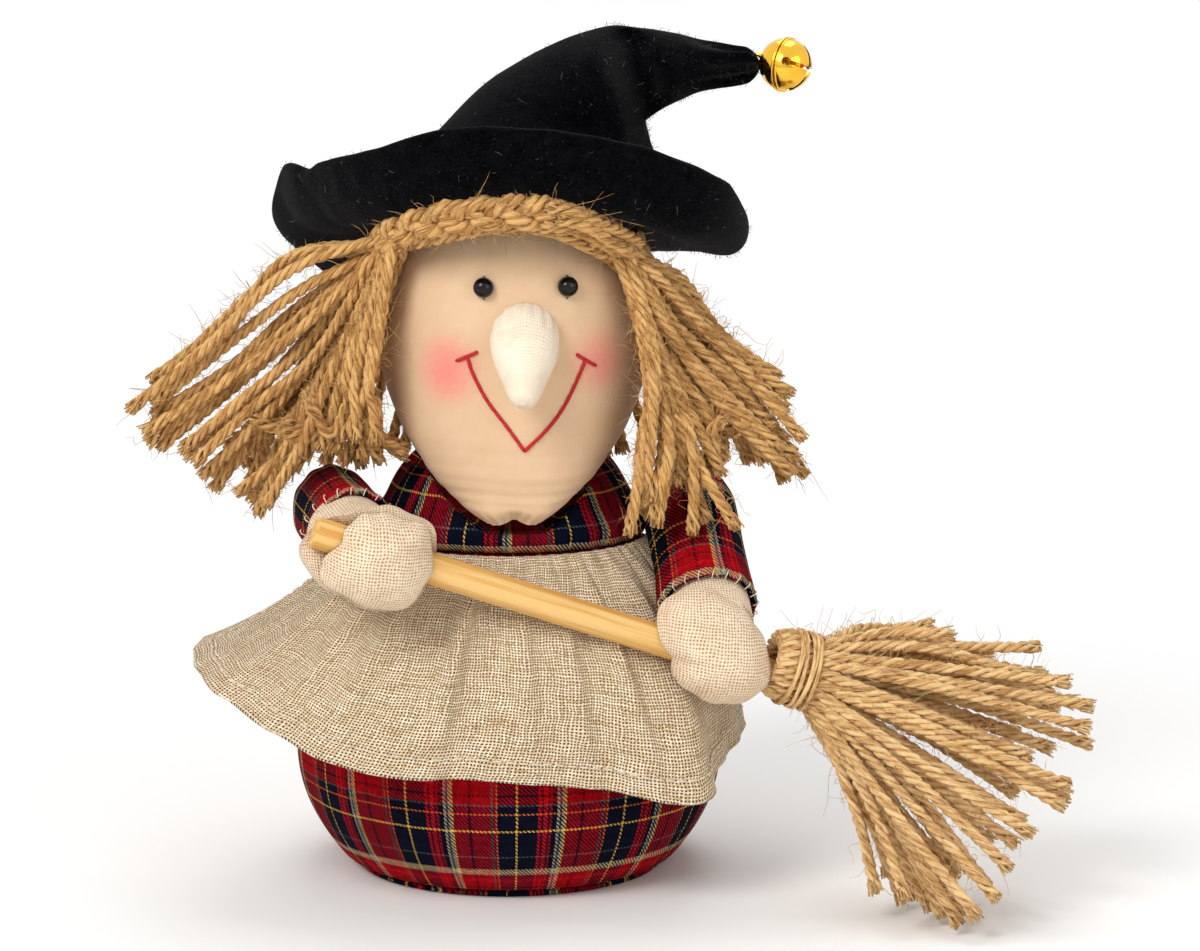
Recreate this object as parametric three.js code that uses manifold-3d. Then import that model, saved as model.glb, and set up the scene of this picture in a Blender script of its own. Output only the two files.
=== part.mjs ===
// A stuffed Befana doll that stands on its own weighted base: a tartan sack body with a linen apron,
// a cloth head with a long nose, jute hair, a black felt hat with a jingle bell at its tip, and two
// arms whose mitten hands are folded round the handle of a jute broom.
//
// Millimetres, +Z up, X to the viewer's right, the doll faces -Y. The origin is the centre of the
// flat base, on the surface that the doll stands on. Right and left in names are the doll's own.

import * as THREE from 'three';
import { mergeVertices } from 'three/addons/utils/BufferGeometryUtils.js';
import { LoftGeometry } from 'three/addons/geometries/LoftGeometry.js';
import Module from 'manifold-3d';

const wasm = await Module();
wasm.setup();

const TAU = 2 * Math.PI;
const degrees = Math.PI / 180;

// Clearances and cloth thicknesses
const seatGap = 0.3;            // between pieces that touch or are sewn together
const stuffingGap = 1.1;        // between a cover and the stuffing inside it
const tartanWall = 1.2;         // sewn tartan cover of body and sleeves
const skinWall = 1.1;           // cotton cover of the head
const apronThickness = 1.0;     // linen of the apron
const feltThickness = 2.6;      // wool felt of the hat
const facetTolerance = 0.07;    // how far a surface may move when needless facets are merged

// Sack body: an egg standing on its narrow end, closed below by a stiff round base
const baseRadius = 38.5;
const baseThickness = 1.6;
const bellyRadius = 54.2;
const bellyHeight = 32;         // height of the widest ring
const bellyDrop = 46;           // half height of the egg below the widest ring
const waistHeight = 84;
const waistRadius = 33;
const pelletHeight = 24;        // top of the pellet bag that weights the base
const bodiceHeight = 29;        // dome of the upper body above the waist seam
const bodiceDepthShare = 0.93;  // the chest is a little flatter than it is wide

// Head: an inverted pear whose front hangs nearly straight, so that its lower end leans forward
const headHeight = 88.5;
const headWidth = 69;
const headDepth = 63;
const headBase = new THREE.Vector3( 1.5, 1, waistHeight + 5.5 );
const chinForward = 28;         // lean of the gathered lower end towards the front
const gatherRadius = 4.5;       // opening that the gathering thread leaves under the chin

// Face: bead eyes and a stuffed nose that points forward and down
const eyeRadius = 2.5;
const eyeSpacing = 19.2;
const eyeLevel = 59.8;          // above the head's lower end
const faceCentre = 3.1;         // the face is sewn a little off the middle of the head
const noseRadius = 8.4;
const noseTipRadius = 3.9;
const noseLength = 25;
const noseLevel = 49.5;
const nosePitch = 38;           // degrees below level

// Hair: jute cords on a narrow weft round the head, and a knotted band over the forehead
const hairWeft = 3;
const hairCord = 2.8;
const bandRadius = 3.8;

// Hat: a wide felt brim turned up in front, and a cone that is bent over to the doll's left
const hatHeight = 72;           // of the brim's seat above the head's lower end
const hatRadius = 36;
const hatTilt = 0.222;          // rise of the brim's seat towards the front, per millimetre
const brimInner = 24;
const tipFelt = 4.1;            // half thickness of the felt gathered at the tip
const tipReach = 60.3;          // from the hat's middle to the tip
const tipRise = 39;             // of the tip above the foot of the crown

// Jingle bell: two half shells round a loose ball, sewn to the tip by the loop on its cap
const bellRadius = 6.5;
const bellWall = 0.45;
const bellRim = 0.35;           // rolled edge that stands out round the middle
const bellRimHeight = 0.5;
const bellSlit = 1;
const bellHole = 1.1;           // radius of the round hole at each end of a slit
const loopRadius = 1.5;
const loopWire = 0.45;
const ballRadius = 2;

// Arms: both turn about one line through the shoulders
const shoulderSpread = 45;
const shoulderBack = -4;
const shoulderHeight = waistHeight + 6;
const shoulderRadius = 12;
const armClearance = 1;         // between an arm and the apron that it brushes past as it is raised
const sleeveLength = 31;
const cuffRadius = 12.4;
const cuffTuck = 3;             // how far the hand's wrist reaches into the cuff
const bellSwing = 12;           // degrees that the bell can swing on its thread

// Broom: a round wooden handle, a jute brush and a twine binding
const handleRadius = 3.8;
const handleLength = 136;
const handleClearance = 0.35;
const bundleRadius = 9;
const bundleLength = 20;
const bundleRise = 3.4;         // the brush sits a little above the handle's line
const brushReach = 75;
const twineRadius = 0.7;
const twineTurns = 3;
const twinePitch = 2.2;

const finish = {
	tartan: new THREE.MeshStandardMaterial( { color: 0x8e1d2c, roughness: 0.95, metalness: 0 } ),
	linen: new THREE.MeshStandardMaterial( { color: 0xc8b79c, roughness: 0.95, metalness: 0 } ),
	skin: new THREE.MeshStandardMaterial( { color: 0xe9d0ae, roughness: 0.9, metalness: 0 } ),
	muslin: new THREE.MeshStandardMaterial( { color: 0xefe4d2, roughness: 0.95, metalness: 0 } ),
	stuffing: new THREE.MeshStandardMaterial( { color: 0xf4f3ef, roughness: 1, metalness: 0 } ),
	pellets: new THREE.MeshStandardMaterial( { color: 0xd8d4cb, roughness: 0.8, metalness: 0 } ),
	jute: new THREE.MeshStandardMaterial( { color: 0xb98f5a, roughness: 1, metalness: 0 } ),
	felt: new THREE.MeshStandardMaterial( { color: 0x17171a, roughness: 1, metalness: 0 } ),
	wood: new THREE.MeshStandardMaterial( { color: 0xe3bd7c, roughness: 0.6, metalness: 0 } ),
	bead: new THREE.MeshStandardMaterial( { color: 0x0b0b0c, roughness: 0.15, metalness: 0 } ),
	brass: new THREE.MeshStandardMaterial( { color: 0xd9a93a, roughness: 0.15, metalness: 1 } ),
	steel: new THREE.MeshStandardMaterial( { color: 0xb9bcc0, roughness: 0.3, metalness: 1 } ),
};

// Solids

function welded( geometry ) {

	const bare = new THREE.BufferGeometry();
	bare.setAttribute( 'position', geometry.attributes.position.clone() );
	if ( geometry.index ) bare.setIndex( geometry.index.clone() );
	const joined = mergeVertices( bare, 1e-4 );
	const index = joined.index.array;
	const kept = [];
	for ( let i = 0; i < index.length; i += 3 ) {

		const [ a, b, c ] = [ index[ i ], index[ i + 1 ], index[ i + 2 ] ];
		if ( a !== b && b !== c && c !== a ) kept.push( a, b, c );

	}

	joined.setIndex( signedVolume( joined, kept ) > 0 ? kept : kept.reverse() );
	return joined;

}

function signedVolume( geometry, index ) {

	const corners = geometry.attributes.position;
	const [ a, b, c ] = [ new THREE.Vector3(), new THREE.Vector3(), new THREE.Vector3() ];
	let sum = 0;
	for ( let i = 0; i < index.length; i += 3 ) {

		a.fromBufferAttribute( corners, index[ i ] );
		b.fromBufferAttribute( corners, index[ i + 1 ] );
		c.fromBufferAttribute( corners, index[ i + 2 ] );
		sum += a.dot( b.cross( c ) ) / 6;

	}

	return sum;

}

function solid( geometry ) {

	const closed = welded( geometry );
	const vertProperties = Float32Array.from( closed.attributes.position.array );
	const triVerts = Uint32Array.from( closed.index.array );
	return new wasm.Manifold( new wasm.Mesh( { numProp: 3, vertProperties, triVerts } ) );

}

// The same closed surface, moved outwards (or inwards) along its own normals.
function grown( geometry, distance ) {

	const moved = welded( geometry );
	moved.computeVertexNormals();
	const { position, normal } = moved.attributes;
	for ( let i = 0; i < position.count; i ++ ) {

		position.setXYZ(
			i,
			position.getX( i ) + distance * normal.getX( i ),
			position.getY( i ) + distance * normal.getY( i ),
			position.getZ( i ) + distance * normal.getZ( i ),
		);

	}

	return moved;

}

function union( solids ) {

	return solids.reduce( ( joined, next ) => joined.add( next ) );

}

// What is left of a trimmed piece once the crumbs that a cut leaves are swept away.
function mainBody( body ) {

	return body.decompose().reduce( ( main, next ) => next.volume() > main.volume() ? next : main );

}

// A named mesh from a solid that was worked out in the doll's frame, hung in the given group.
function addPiece( group, name, body, material ) {

	const { vertProperties, triVerts, numProp } = body.simplify( facetTolerance ).getMesh();
	const positions = new Float32Array( vertProperties.length / numProp * 3 );
	for ( let i = 0; i < positions.length / 3; i ++ ) {

		for ( let k = 0; k < 3; k ++ ) positions[ 3 * i + k ] = vertProperties[ numProp * i + k ];

	}

	const geometry = new THREE.BufferGeometry();
	geometry.setAttribute( 'position', new THREE.BufferAttribute( positions, 3 ) );
	geometry.setIndex( new THREE.BufferAttribute( Uint32Array.from( triVerts ), 1 ) );
	group.updateWorldMatrix( true, false );
	geometry.applyMatrix4( group.matrixWorld.clone().invert() );
	const mesh = new THREE.Mesh( geometry, material );
	mesh.name = name;
	group.add( mesh );
	return mesh;

}

function groupAt( parent, position ) {

	const group = new THREE.Group();
	group.position.copy( position );
	parent.add( group );
	return group;

}

// Forms

// A smooth line through the stations' values in one column, read at a place between them.
function follow( stations, column, place ) {

	const last = stations.length - 1;
	const clamped = Math.min( Math.max( place, stations[ 0 ][ 0 ] ), stations[ last ][ 0 ] );
	let k = 0;
	while ( k < last - 1 && clamped > stations[ k + 1 ][ 0 ] ) k ++;
	const slope = ( i ) => {

		const [ before, after ] = [ stations[ Math.max( i - 1, 0 ) ], stations[ Math.min( i + 1, last ) ] ];
		return ( after[ column ] - before[ column ] ) / ( after[ 0 ] - before[ 0 ] );

	};

	const [ low, high ] = [ stations[ k ], stations[ k + 1 ] ];
	const span = high[ 0 ] - low[ 0 ];
	const t = ( clamped - low[ 0 ] ) / span;
	return ( 2 * t ** 3 - 3 * t ** 2 + 1 ) * low[ column ] + ( t ** 3 - 2 * t ** 2 + t ) * span * slope( k )
		+ ( 3 * t ** 2 - 2 * t ** 3 ) * high[ column ] + ( t ** 3 - t ** 2 ) * span * slope( k + 1 );

}

// A stuffed form: ellipses stacked along +Z. Each station is [ height, half width, half depth,
// forward shift ]; the rings lie closer together towards both ends.
function stuffed( stations, rings, sides ) {

	const [ low, high ] = [ stations[ 0 ][ 0 ], stations[ stations.length - 1 ][ 0 ] ];
	const sections = [];
	for ( let i = 0; i <= rings; i ++ ) {

		const z = low + ( high - low ) * ( 1 - Math.cos( Math.PI * i / rings ) ) / 2;
		const [ halfWidth, halfDepth, forward ] = [ 1, 2, 3 ].map( ( column ) => follow( stations, column, z ) );
		const section = [];
		for ( let j = 0; j < sides; j ++ ) {

			const angle = TAU * j / sides;
			section.push( new THREE.Vector3( halfWidth * Math.sin( angle ), - forward - halfDepth * Math.cos( angle ), z ) );

		}

		sections.push( section );

	}

	return new LoftGeometry( sections, { capStart: true, capEnd: true } );

}

// A profile of [ radius, height ] points turned about +Z.
function turned( profile, segments ) {

	const outline = profile.map( ( [ radius, height ] ) => new THREE.Vector2( radius, height ) );
	return new THREE.LatheGeometry( outline, segments ).rotateX( Math.PI / 2 );

}

// The same, turned about another line: the profile's height runs from start along direction.
function turnedAlong( profile, segments, start, direction ) {

	const turn = new THREE.Quaternion().setFromUnitVectors( new THREE.Vector3( 0, 0, 1 ), direction );
	return turned( profile, segments ).applyQuaternion( turn ).translate( start.x, start.y, start.z );

}

// A closed sheet of cloth between two faces, each a list of lines of points. A sheet that goes all
// the way round has no side edges.
function slab( front, back, allRound ) {

	const [ columns, rows ] = [ front.length, front[ 0 ].length ];
	const positions = [ ...front.flat(), ...back.flat() ].flatMap( ( point ) => point.toArray() );
	const at = ( face, column, row ) => face * columns * rows + ( column % columns ) * rows + row;
	const index = [];
	const quad = ( a, b, c, d ) => index.push( a, b, c, a, c, d );
	const strips = allRound ? columns : columns - 1;
	for ( let i = 0; i < strips; i ++ ) {

		for ( let k = 0; k < rows - 1; k ++ ) {

			quad( at( 0, i, k ), at( 0, i, k + 1 ), at( 0, i + 1, k + 1 ), at( 0, i + 1, k ) );
			quad( at( 1, i, k ), at( 1, i + 1, k ), at( 1, i + 1, k + 1 ), at( 1, i, k + 1 ) );

		}

		quad( at( 0, i, 0 ), at( 0, i + 1, 0 ), at( 1, i + 1, 0 ), at( 1, i, 0 ) );
		quad( at( 0, i, rows - 1 ), at( 1, i, rows - 1 ), at( 1, i + 1, rows - 1 ), at( 0, i + 1, rows - 1 ) );

	}

	if ( ! allRound ) {

		const end = columns - 1;
		for ( let k = 0; k < rows - 1; k ++ ) {

			quad( at( 0, 0, k ), at( 1, 0, k ), at( 1, 0, k + 1 ), at( 0, 0, k + 1 ) );
			quad( at( 0, end, k ), at( 0, end, k + 1 ), at( 1, end, k + 1 ), at( 1, end, k ) );

		}

	}

	const geometry = new THREE.BufferGeometry();
	geometry.setAttribute( 'position', new THREE.Float32BufferAttribute( positions, 3 ) );
	geometry.setIndex( index );
	return geometry;

}

// A tube of few sides along a curve.
function tube( curve, radius, sides, steps ) {

	const section = new THREE.Shape();
	for ( let i = 0; i < sides; i ++ ) {

		const [ x, y ] = [ radius * Math.cos( TAU * i / sides ), radius * Math.sin( TAU * i / sides ) ];
		if ( i === 0 ) section.moveTo( x, y );
		else section.lineTo( x, y );

	}

	return new THREE.ExtrudeGeometry( section, { steps, extrudePath: curve, curveSegments: 1 } );

}

function cordThrough( points ) {

	return new THREE.CatmullRomCurve3( points, false, 'centripetal' );

}

const doll = new THREE.Group();

// Sack body. The bulge above the widest ring is the ellipse that passes through the waist.

const bellyRise = ( waistHeight - bellyHeight ) / Math.sqrt( 1 - ( waistRadius / bellyRadius ) ** 2 );

function bodyRadius( height ) {

	const rise = height < bellyHeight ? bellyDrop : bellyRise;
	return bellyRadius * Math.sqrt( Math.max( 0, 1 - ( ( height - bellyHeight ) / rise ) ** 2 ) );

}

// Points of the body's outline, moved inwards; they lie closer together near the low end.
function bodyProfile( low, high, inset, count ) {

	const points = [];
	for ( let i = 0; i <= count; i ++ ) {

		const height = low + ( high - low ) * ( i / count ) ** 1.4;
		points.push( [ bodyRadius( height ) - inset, height ] );

	}

	return points;

}

const bodySegments = 28;
const coverLow = baseThickness + seatGap;
const insideGap = tartanWall + stuffingGap;

const coverWall = [
	...bodyProfile( coverLow, waistHeight, 0, 7 ),
	...bodyProfile( coverLow, waistHeight, tartanWall, 7 ).reverse(),
];
coverWall.push( coverWall[ 0 ] );
const lowerBody = solid( turned( coverWall, bodySegments ) );

const baseDisc = [ [ 0, 0 ], [ baseRadius - 0.8, 0 ], [ baseRadius, 0.8 ], [ baseRadius, baseThickness ], [ 0, baseThickness ] ];
const basePanel = solid( turned( baseDisc, bodySegments ) );

const pelletLow = baseThickness + seatGap;
const pelletBag = solid( turned( [
	[ 0, pelletLow ],
	...bodyProfile( pelletLow, pelletHeight, insideGap, 4 ),
	[ 0, pelletHeight + 2 ],
], 16 ) );

const fillingLow = pelletHeight + seatGap;
const bodyFilling = solid( turned( [
	[ 0, fillingLow + 2 ],
	...bodyProfile( fillingLow, waistHeight, insideGap, 5 ),
	[ 0, waistHeight ],
], 16 ) );

// Bodice: the upper body as a dome over the waist seam. The head and both shoulders sink into it.

const bodiceLow = waistHeight + seatGap;
const bodiceStations = [];
for ( let i = 0; i <= 8; i ++ ) {

	const angle = Math.PI / 2 * Math.min( i / 8, 0.965 );
	const radius = waistRadius * Math.cos( angle );
	bodiceStations.push( [ bodiceLow + bodiceHeight * Math.sin( angle ), radius, radius * bodiceDepthShare, 0 ] );

}

const bodiceForm = stuffed( bodiceStations, 7, 24 );
const bodiceLining = stuffed( bodiceStations, 5, 16 );
const shoulderCentre = ( side ) => new THREE.Vector3( side * shoulderSpread, shoulderBack, shoulderHeight );

// Head. Each station is [ share of the height, share of the half width, of the half depth, of the lean ].

const headShares = [
	[ 0, 0.22, 0.19, 1 ],
	[ 0.03, 0.33, 0.3, 0.94 ],
	[ 0.08, 0.46, 0.42, 0.81 ],
	[ 0.16, 0.63, 0.58, 0.6 ],
	[ 0.27, 0.83, 0.82, 0.29 ],
	[ 0.46, 1, 0.98, 0.04 ],
	[ 0.59, 0.99, 1.01, 0 ],
	[ 0.72, 0.91, 0.95, - 0.02 ],
	[ 0.86, 0.7, 0.76, - 0.03 ],
	[ 0.95, 0.42, 0.45, - 0.03 ],
	[ 1, 0.1, 0.1, - 0.03 ],
];
const headStations = headShares.map( ( [ height, width, depth, lean ] ) => [
	height * headHeight, width * headWidth / 2, depth * headDepth / 2, lean * chinForward,
] );
const headForm = stuffed( headStations, 12, 24 ).translate( headBase.x, headBase.y, headBase.z );
const headLining = stuffed( headStations, 8, 16 ).translate( headBase.x, headBase.y, headBase.z );

// A point on the head, stood off from it: the angle runs from the face towards the viewer's right.
function onHead( angle, level, standOff ) {

	const [ halfWidth, halfDepth, forward ] = [ 1, 2, 3 ].map( ( column ) => follow( headStations, column, level ) );
	return new THREE.Vector3(
		headBase.x + ( halfWidth + standOff ) * Math.sin( angle ),
		headBase.y - forward - ( halfDepth + standOff ) * Math.cos( angle ),
		headBase.z + level,
	);

}

const headKeepOut = solid( grown( headForm, seatGap ) );
const gatherHole = solid( new THREE.CylinderGeometry( gatherRadius, gatherRadius, 12, 16 )
	.rotateX( Math.PI / 2 ).translate( headBase.x, headBase.y - chinForward, headBase.z ) );
const headCover = solid( headForm ).subtract( solid( grown( headLining, - skinWall ) ) ).subtract( gatherHole );
const headFilling = solid( grown( headLining, - skinWall - stuffingGap ) );

const headGroup = groupAt( doll, headBase );
addPiece( headGroup, 'head_cover', headCover, finish.skin );
addPiece( headGroup, 'head_filling', headFilling, finish.stuffing );

// Nose: a stuffed cone with a round tip, its open end sewn flat against the face.

const noseStart = onHead( 0, noseLevel, - 3 );
noseStart.x = headBase.x + faceCentre;
const noseDirection = new THREE.Vector3( 0, - Math.cos( nosePitch * degrees ), - Math.sin( nosePitch * degrees ) );
const noseProfile = [ [ 0, - 3 ], [ noseRadius * 0.86, - 3 ], [ noseRadius, 3 ], [ noseRadius * 0.9, 9 ] ];
for ( let i = 0; i <= 5; i ++ ) {

	const angle = Math.PI / 2 * i / 5;
	noseProfile.push( [
		i === 5 ? 0 : noseTipRadius * Math.cos( angle ) + 0.8 * ( 1 - Math.sin( angle ) ),
		noseLength - noseTipRadius + noseTipRadius * Math.sin( angle ),
	] );

}

const nose = solid( turnedAlong( noseProfile, 14, noseStart, noseDirection ) ).subtract( headKeepOut );
addPiece( headGroup, 'nose', nose, finish.muslin );

for ( const [ name, side ] of [ [ 'right_eye', - 1 ], [ 'left_eye', 1 ] ] ) {

	const x = faceCentre + side * eyeSpacing / 2;
	const angle = Math.asin( x / follow( headStations, 1, eyeLevel ) );
	const centre = onHead( angle, eyeLevel, eyeRadius * 0.45 );
	const bead = solid( new THREE.SphereGeometry( eyeRadius, 12, 8 ).translate( centre.x, centre.y, centre.z ) );
	addPiece( headGroup, name, bead.subtract( headKeepOut ), finish.bead );

}

// Apron: linen gathered into the waist seam. It follows the belly in front and stands out on the
// doll's right. Each station is [ angle from the front, cut length, slope at the waist, slope at
// the hem, fold ]; slopes are degrees from hanging straight down.

const apronStations = [
	[ - 82, 48, 44, 72, 0 ],
	[ - 64, 54, 46, 68, 1.2 ],
	[ - 46, 58, 48, 50, - 1.2 ],
	[ - 28, 59, 48, 26, 1.2 ],
	[ - 12, 57, 47, 10, - 1 ],
	[ 6, 57, 45, 6, 1 ],
	[ 24, 60, 44, 7, - 1 ],
	[ 42, 66, 45, 12, 3.4 ],
	[ 58, 60, 44, 7, - 0.8 ],
	[ 76, 55, 45, 6, 0.6 ],
	[ 90, 53, 45, 6, 0 ],
];
const apronSteps = 7;
const apronColumns = 28;
const apronGap = seatGap + apronThickness / 2;

function apronLine( angle ) {

	const [ length, top, hem, fold ] = [ 1, 2, 3, 4 ].map( ( column ) => follow( apronStations, column, angle ) );
	const line = [];
	let [ radius, height ] = [ waistRadius + apronGap + 0.4, waistHeight - 0.6 ];
	for ( let i = 0; i <= apronSteps; i ++ ) {

		const share = i / apronSteps;
		const clear = Math.max( radius + fold * share, bodyRadius( height ) + apronGap + 0.5 );
		line.push( new THREE.Vector3( clear * Math.sin( angle * degrees ), - clear * Math.cos( angle * degrees ), height ) );
		const slope = ( top + ( hem - top ) * ( share + 0.5 / apronSteps ) ) * degrees;
		radius += length / apronSteps * Math.sin( slope );
		height -= length / apronSteps * Math.cos( slope );

	}

	return line;

}

function apronSheet() {

	const first = apronStations[ 0 ][ 0 ];
	const last = apronStations[ apronStations.length - 1 ][ 0 ];
	const lines = [];
	for ( let i = 0; i <= apronColumns; i ++ ) lines.push( apronLine( first + ( last - first ) * i / apronColumns ) );
	const faces = [ 1, - 1 ].map( ( face ) => lines.map( ( line, i ) => line.map( ( point, k ) => {

		const across = lines[ Math.min( i + 1, apronColumns ) ][ k ].clone().sub( lines[ Math.max( i - 1, 0 ) ][ k ] );
		const down = line[ Math.min( k + 1, apronSteps ) ].clone().sub( line[ Math.max( k - 1, 0 ) ] );
		const outward = down.cross( across ).normalize();
		return point.clone().addScaledVector( outward, face * apronThickness / 2 );

	} ) ) );
	return slab( faces[ 0 ], faces[ 1 ], false );

}

// The round shoulders turn against the apron's upper corners, which are cut back for them.
const apronForm = apronSheet();
const shoulderSweeps = [ - 1, 1 ].map( ( side ) => {

	const { x, y, z } = shoulderCentre( side );
	return solid( new THREE.SphereGeometry( shoulderRadius + 3 * seatGap, 20, 14 ).translate( x, y, z ) );

} );
const apron = mainBody( solid( apronForm ).subtract( union( shoulderSweeps ) ) );

// Arms. The left arm reaches forward and down, the right arm straight forward; each hand is folded
// round the handle. The grips are where the handle's middle line passes the middle of each hand.

const rightHand = new THREE.Vector3( - 32, - 58, shoulderHeight - 1.8 );
const leftHand = new THREE.Vector3( 50.5, - 43, shoulderHeight - 25.8 );
const rightGrip = rightHand.clone().add( new THREE.Vector3( 0, 0, 2.6 ) );
const leftGrip = leftHand.clone().add( new THREE.Vector3( 0, 1, - 3.2 ) );
const handleDirection = leftGrip.clone().sub( rightGrip ).normalize();
const handleOverhang = 14;      // of the handle's free end beyond the middle of the right hand
const handleStart = rightGrip.clone().addScaledVector( handleDirection, - handleOverhang );
const handleMiddle = handleStart.clone().addScaledVector( handleDirection, handleLength / 2 );

function handleSolid( radius, from, to ) {

	return solid( turnedAlong( [ [ 0, from ], [ radius, from ], [ radius, to ], [ 0, to ] ], 16, handleStart, handleDirection ) );

}

const handleKeepOut = handleSolid( handleRadius + handleClearance, - 20, handleLength + 20 );
const bundleFrom = handleLength - bundleLength + 1;
const bundleKeepOut = handleSolid( bundleRadius + bundleRise + seatGap, bundleFrom - seatGap, handleLength + 20 );

// All that an arm has to stay clear of, grown by the seat gap and a further distance. The belly is
// coarser here than the piece itself, and coarseMargin covers the difference.
const coarseMargin = 0.9;

function bodyKeepOut( further ) {

	const distance = seatGap + further;
	const low = bellyHeight - 2;
	return union( [
		solid( turned( [ [ 0, low ], ...bodyProfile( low, waistHeight, - distance - coarseMargin, 4 ), [ 0, waistHeight ] ], 20 ) ),
		solid( grown( bodiceForm, distance ) ),
		solid( grown( apronForm, distance + armClearance ) ),
	] );

}

function armPieces( side, name, hand, handShape, handTurn ) {

	const shoulder = shoulderCentre( side );
	const reach = hand.clone().sub( shoulder );
	const along = reach.clone().normalize();
	const toHand = new THREE.Quaternion().setFromUnitVectors( new THREE.Vector3( 0, 0, 1 ), along );
	const placed = ( form ) => form.applyQuaternion( toHand ).translate( shoulder.x, shoulder.y, shoulder.z );
	const sleeveStations = [ [ - shoulderRadius, 0.6, 0.6, 0 ] ];
	for ( const share of [ 0.92, 0.7, 0.38 ] ) {

		const ring = shoulderRadius * Math.sqrt( 1 - share ** 2 );
		sleeveStations.push( [ - shoulderRadius * share, ring, ring, 0 ] );

	}

	sleeveStations.push(
		[ 0, shoulderRadius, shoulderRadius, 0 ],
		[ sleeveLength * 0.5, shoulderRadius * 0.98, shoulderRadius * 0.98, 0 ],
		[ sleeveLength, cuffRadius, cuffRadius, 0 ],
	);
	const sleeveForm = placed( stuffed( sleeveStations, 8, 16 ) );

	// The form moved inwards and trimmed to the body.
	const trimmed = ( inset ) => mainBody( solid( grown( sleeveForm, - inset ) ).subtract( bodyKeepOut( inset ) ) );
	const cuffMouth = ( from, radius ) => solid( turnedAlong( [
		[ 0, from ], [ radius, from ], [ radius, sleeveLength + cuffRadius ], [ 0, sleeveLength + cuffRadius ],
	], 16, shoulder, along ) );
	const mouthStart = sleeveLength - cuffTuck - seatGap;
	const sleeve = trimmed( 0 ).subtract( trimmed( tartanWall ) )
		.subtract( cuffMouth( mouthStart, cuffRadius - tartanWall ) );
	const filling = trimmed( insideGap ).subtract( cuffMouth( mouthStart, 2 * cuffRadius ) );

	const wristRadius = cuffRadius - tartanWall - seatGap;
	const wrist = solid( placed( stuffed( [
		[ sleeveLength - cuffTuck, wristRadius, wristRadius, 0 ], [ reach.length(), wristRadius * 0.7, wristRadius * 0.7, 0 ],
	], 2, 12 ) ) );
	const mitten = solid( stuffed( handShape, 8, 14 ).applyQuaternion( handTurn ).translate( hand.x, hand.y, hand.z ) );
	const fist = mitten.subtract( solid( grown( sleeveForm, seatGap ) ) ).add( wrist )
		.subtract( bodyKeepOut( 0 ) ).subtract( handleKeepOut ).subtract( bundleKeepOut );
	const arm = groupAt( doll, shoulder );
	addPiece( arm, `${name}_sleeve`, sleeve, finish.tartan );
	addPiece( arm, `${name}_arm_filling`, mainBody( filling ), finish.stuffing );
	addPiece( arm, `${name}_hand`, mainBody( fist ), finish.muslin );

}

// Each hand is stuffed along its own long line: stations as for the other stuffed forms.
const rightHandShape = [
	[ - 17, 2, 2, 0 ], [ - 14.5, 8, 7.5, 0 ], [ - 8, 12.2, 11.6, 0 ], [ 1, 13, 12.6, 0 ],
	[ 9, 12, 11.4, 0 ], [ 15, 8, 7.6, 0 ], [ 17.5, 2, 2, 0 ],
];
const leftHandShape = [
	[ - 15, 2, 2, 0 ], [ - 12.5, 8.5, 8, 0 ], [ - 6, 13.4, 12.4, 0 ], [ 1, 14.4, 13, 0 ],
	[ 8, 12.8, 11.8, 0 ], [ 13, 8, 7.6, 0 ], [ 15, 2, 2, 0 ],
];
const lengthwise = new THREE.Quaternion().setFromUnitVectors( new THREE.Vector3( 0, 0, 1 ), handleDirection );
const upright = new THREE.Quaternion().setFromEuler( new THREE.Euler( 8 * degrees, 6 * degrees, 0 ) );
armPieces( - 1, 'right', rightHand, rightHandShape, lengthwise );
armPieces( 1, 'left', leftHand, leftHandShape, upright );

const bodiceOpening = solid( turned( [ [ 0, waistHeight - 5 ], [ waistRadius - tartanWall - 3, waistHeight - 5 ],
	[ waistRadius - tartanWall - 3, waistHeight + 2 ], [ 0, waistHeight + 2 ] ], bodySegments ) );
const bodice = solid( bodiceForm ).subtract( solid( grown( bodiceLining, - tartanWall ) ) ).subtract( bodiceOpening )
	.subtract( headKeepOut );
const chestFilling = solid( grown( bodiceLining, - insideGap ) ).subtract( headKeepOut );

const bodyGroup = groupAt( doll, new THREE.Vector3() );
addPiece( bodyGroup, 'base_panel', basePanel, finish.tartan );
addPiece( bodyGroup, 'pellet_bag', pelletBag, finish.pellets );
addPiece( bodyGroup, 'body_filling', bodyFilling, finish.stuffing );
addPiece( bodyGroup, 'lower_body', lowerBody, finish.tartan );
addPiece( bodyGroup, 'chest_filling', chestFilling, finish.stuffing );
addPiece( bodyGroup, 'bodice', bodice, finish.tartan );
addPiece( bodyGroup, 'apron_skirt', apron, finish.linen );

// Hair. Each cord starts at [ angle, level ] on the weft, a band sewn round the side of the head. The
// points that follow are chosen by hand: X and Y in the doll's frame, height above the head's lower end.

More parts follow.
